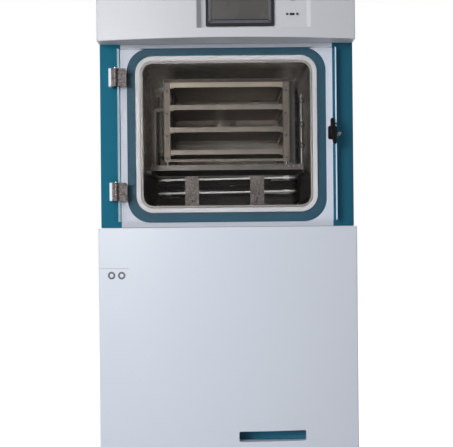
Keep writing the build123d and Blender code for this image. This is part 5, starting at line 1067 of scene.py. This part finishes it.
# Cover pocket: a folded teal sheet behind the slot that the fingers bear on.
pull_slot_x, pull_slot_z = 0.129, 0.2015
pocket_y = -0.4675
pocket = shape_from(
    bpy.ops.mesh.primitive_cube_add, stretch=(0.212, 0.045, 0.043), size=1,
    location=(pull_slot_x, pocket_y, pull_slot_z),
)
bpy.ops.object.mode_set(mode="EDIT")
pick(pocket, "faces", lambda f: f.normal.y < -0.9)
bpy.ops.mesh.delete(type="FACE")
pick(pocket, "edges", lambda e: len(e.link_faces) == 2)
bpy.ops.mesh.bevel(offset=0.006, segments=4, affect="EDGES")
bpy.ops.object.mode_set(mode="OBJECT")
give_wall(pocket, 0.001, 1)
settle(pocket, "pull_pocket", backing_teal_lit, "lower_cover")

# Rubber grommets in the backing panel that grip the cover's studs.
black_rubber = paint("black_rubber", (0.018, 0.018, 0.018), (0.06, 0.06, 0.06), 0.70, 0.15, 700.0)
dress(black_rubber, "cover_catches")

# ---- Refrigeration set ----
# Black enamelled compressor, finned aluminium radiator with its moulded fan, brazed copper
# pipes and a stainless fluid heater, all bolted in the machine bay.
black_enamel = paint("black_enamel", (0.012, 0.012, 0.014), (0.12, 0.12, 0.12), 0.22)
fin_metal = brushed("fin_metal", (0.70, 0.70, 0.71), 0.40, (300, 300, 60))
copper_tube = mottled_metal(
    "copper_tube", (0.66, 0.29, 0.17), (0.50, 0.21, 0.12), 0.28, cell=90.0
)
heater_steel = brushed("heater_steel", (0.55, 0.54, 0.52), 0.34, (60, 60, 700))
fan_plastic = paint("fan_plastic", (0.015, 0.015, 0.017), (0.06, 0.06, 0.065), 0.46, 0.12, 800.0)
dress(black_enamel, "compressor")
dress(fin_metal, "condenser_radiator")
dress(copper_tube, "refrigerant_pipes")
dress(heater_steel, "fluid_heater")
dress(fan_plastic, "fan_rotor", "power_inlet")

# ---- Drain ----
# Stainless drain pipe from the chamber's floor to a nickel plated valve, screwed on its end
# behind the back panel, with a red vinyl dipped lever.
drain_steel = brushed("drain_steel", (0.60, 0.58, 0.55), 0.26, (60, 60, 700))
valve_nickel = mottled_metal(
    "valve_nickel", (0.62, 0.55, 0.40), (0.50, 0.43, 0.30), 0.24, cell=300.0
)
lever_vinyl = paint(
    "lever_vinyl", (0.42, 0.03, 0.02), (0.55, 0.12, 0.09), 0.35, 0.10, 300.0, wear=0.6, depth=0.00004
)
dress(drain_steel, "drain_pipe")
dress(valve_nickel, "drain_valve_body")
dress(lever_vinyl, "drain_valve_lever")


# ---- Castors and feet ----
# Grey rubber tyres moulded on pale nylon hubs, in pressed and zinc plated forks: the front
# ones swivel and the rear ones are fixed. The levelling feet are zinc plated too.
def make_wheel(name, body_node):
    """Grey rubber tyre with a pale hub, by distance from the wheel's own axle."""
    material, tree, shader, place = start_material(name)
    low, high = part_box(body_node)
    hub_radius = 0.0255
    away = from_axle(tree, place, (low + high) / 2, (0, 1, 1))
    hub = spread(tree, away, 1.0, 0.0, hub_radius, hub_radius + 0.0005)
    film = place_group(tree, paint_film, place, Mottle=0.15, Peel_Scale=600.0, Roughness=0.55)
    tyre = tint(tree, (0.07, 0.07, 0.075), film.outputs["Shade"])
    tree.links.new(fade(tree, tyre, (0.42, 0.42, 0.43), hub), shader.inputs["Base Color"])
    tree.links.new(film.outputs["Gloss"], shader.inputs["Roughness"])
    tree.links.new(bump(tree, film.outputs["Height"], 0.00004), shader.inputs["Normal"])
    return material


for place_name in ("front_left", "front_right", "rear_left", "rear_right"):
    dress(make_wheel(f"{place_name}_tyre", f"{place_name}_wheel"), f"{place_name}_wheel")
dress(zinc_plate, "castor_plates", "front_left_fork", "front_right_fork")
dress(zinc_plate, "rear_castor_brackets", "levelling_feet")

low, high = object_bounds()
